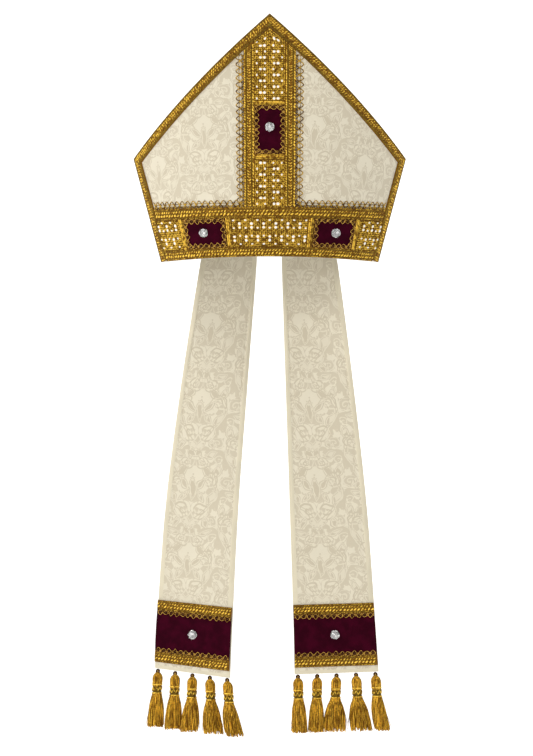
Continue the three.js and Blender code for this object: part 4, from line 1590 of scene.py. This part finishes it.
class MITRE_OT_stage(bpy.types.Operator):
    """Set out the floor, the lights and the camera"""

    bl_idname = "mitre.stage"
    bl_label = "Stage"

    def execute(self, context):
        self.add_floor()
        self.add_sky(context.scene)
        self.add_lights()
        self.add_camera(context.scene)
        context.scene.view_settings.view_transform = "Standard"
        return {"FINISHED"}

    def add_floor(self):
        """A pale floor, just below the tassels, that bends up into a backdrop far behind."""
        low, _ = CAD_BOUNDS
        deselect()
        bpy.ops.mesh.primitive_plane_add(size=FLOOR_SIZE, location=(0, 0, low.z - FLOOR_DROP))
        floor = bpy.context.object
        floor.name = "pale_floor"
        bpy.ops.object.transform_apply(location=True, rotation=False, scale=True)
        mode("EDIT")
        bpy.ops.mesh.select_mode(type="EDGE")
        bpy.ops.mesh.select_all(action="DESELECT")
        mode("OBJECT")
        for edge in floor.data.edges:
            edge.select = all(floor.data.vertices[v].co.y > 0 for v in edge.vertices)
        mode("EDIT")
        bpy.ops.mesh.extrude_region_move(TRANSFORM_OT_translate={"value": (0, 0, BACKDROP_HEIGHT)})
        mode("OBJECT")
        apply_modifier(floor, "BEVEL", width=FLOOR_BEND, segments=16, limit_method="ANGLE")
        smooth(floor, 60)
        nodes = Nodes("Pale floor")
        colour = nodes.mix(nodes.noise(nodes.where(), 3.0), (0.93, 0.93, 0.93), (0.96, 0.96, 0.96))
        floor.data.materials.append(nodes.finish(
            Base_Color=colour, Roughness=0.9, Emission_Color=(1, 1, 1), Emission_Strength=0.5))

    def add_sky(self, scene):
        """A soft light from all round, brightest from the upper left."""
        scene.world = bpy.data.worlds.new("Studio")
        scene.world.use_nodes = True
        tree = scene.world.node_tree
        aim = tree.nodes.new("ShaderNodeVectorMath")
        aim.operation = "DOT_PRODUCT"
        aim.inputs[1].default_value = SKY_BRIGHTEST.normalized()
        ramp = tree.nodes.new("ShaderNodeMapRange")
        for key, value in SKY_RAMP.items():
            ramp.inputs[key].default_value = value
        background = tree.nodes["Background"]
        background.inputs["Color"].default_value = (1, 0.985, 0.955, 1)
        tree.links.new(tree.nodes.new("ShaderNodeTexCoord").outputs["Generated"], aim.inputs[0])
        tree.links.new(aim.outputs["Value"], ramp.inputs["Value"])
        tree.links.new(ramp.outputs["Result"], background.inputs["Strength"])

    def add_lights(self):
        target = Vector((0, 0, -0.1))
        for name, (at, size, power) in LIGHTS.items():
            bpy.ops.object.light_add(type="AREA", location=at)
            light = bpy.context.object
            light.name = name
            light.data.size = size
            light.data.energy = power
            light.data.color = (1.0, 0.97, 0.92)
            light.rotation_euler = (target - Vector(at)).to_track_quat("-Z", "Y").to_euler()

    def add_camera(self, scene):
        """A long lens, level with the rim, shifted down to take in the tassels."""
        place = (CAMERA_SIDE, -CAMERA_DISTANCE, 0.0)
        bpy.ops.object.camera_add(location=place, rotation=(math.pi / 2, 0, 0))
        camera = bpy.context.object
        camera.data.sensor_width = SENSOR
        camera.data.lens = SENSOR * CAMERA_DISTANCE / VIEW_HEIGHT
        camera.data.shift_y = VIEW_MIDDLE / VIEW_HEIGHT
        camera.data.clip_end = 100.0
        scene.camera = camera


class MITRE_PT_panel(bpy.types.Panel):
    """Lists the steps that build the mitre"""

    bl_label = "Mitre"
    bl_idname = "MITRE_PT_panel"
    bl_space_type = "VIEW_3D"
    bl_region_type = "UI"
    bl_category = "Mitre"

    def draw(self, context):
        for group in (context.scene.mitre_sizes, context.scene.mitre_colours):
            for name in group.__annotations__:
                self.layout.prop(group, name)
        for operator in OPERATORS:
            self.layout.operator(operator.bl_idname)


OPERATORS = (
    MITRE_OT_stage, MITRE_OT_panels, MITRE_OT_gusset, MITRE_OT_bindings, MITRE_OT_titulus,
    MITRE_OT_circulus, MITRE_OT_lappets, MITRE_OT_stones, MITRE_OT_tassels,
)
CLASSES = (MitreSizes, MitreColours, *OPERATORS, MITRE_PT_panel)


def register():
    for cls in CLASSES:
        bpy.utils.register_class(cls)
    bpy.types.Scene.mitre_sizes = bpy.props.PointerProperty(type=MitreSizes)
    bpy.types.Scene.mitre_colours = bpy.props.PointerProperty(type=MitreColours)


def unregister():
    del bpy.types.Scene.mitre_colours
    del bpy.types.Scene.mitre_sizes
    for cls in reversed(CLASSES):
        bpy.utils.unregister_class(cls)


def main():
    register()
    bpy.ops.mitre.stage()
    bpy.ops.mitre.panels()
    bpy.ops.mitre.gusset()
    bpy.ops.mitre.bindings()
    bpy.ops.mitre.titulus()
    bpy.ops.mitre.circulus()
    bpy.ops.mitre.lappets()
    bpy.ops.mitre.stones()
    bpy.ops.mitre.tassels()


if __name__ == "__main__":
    main()
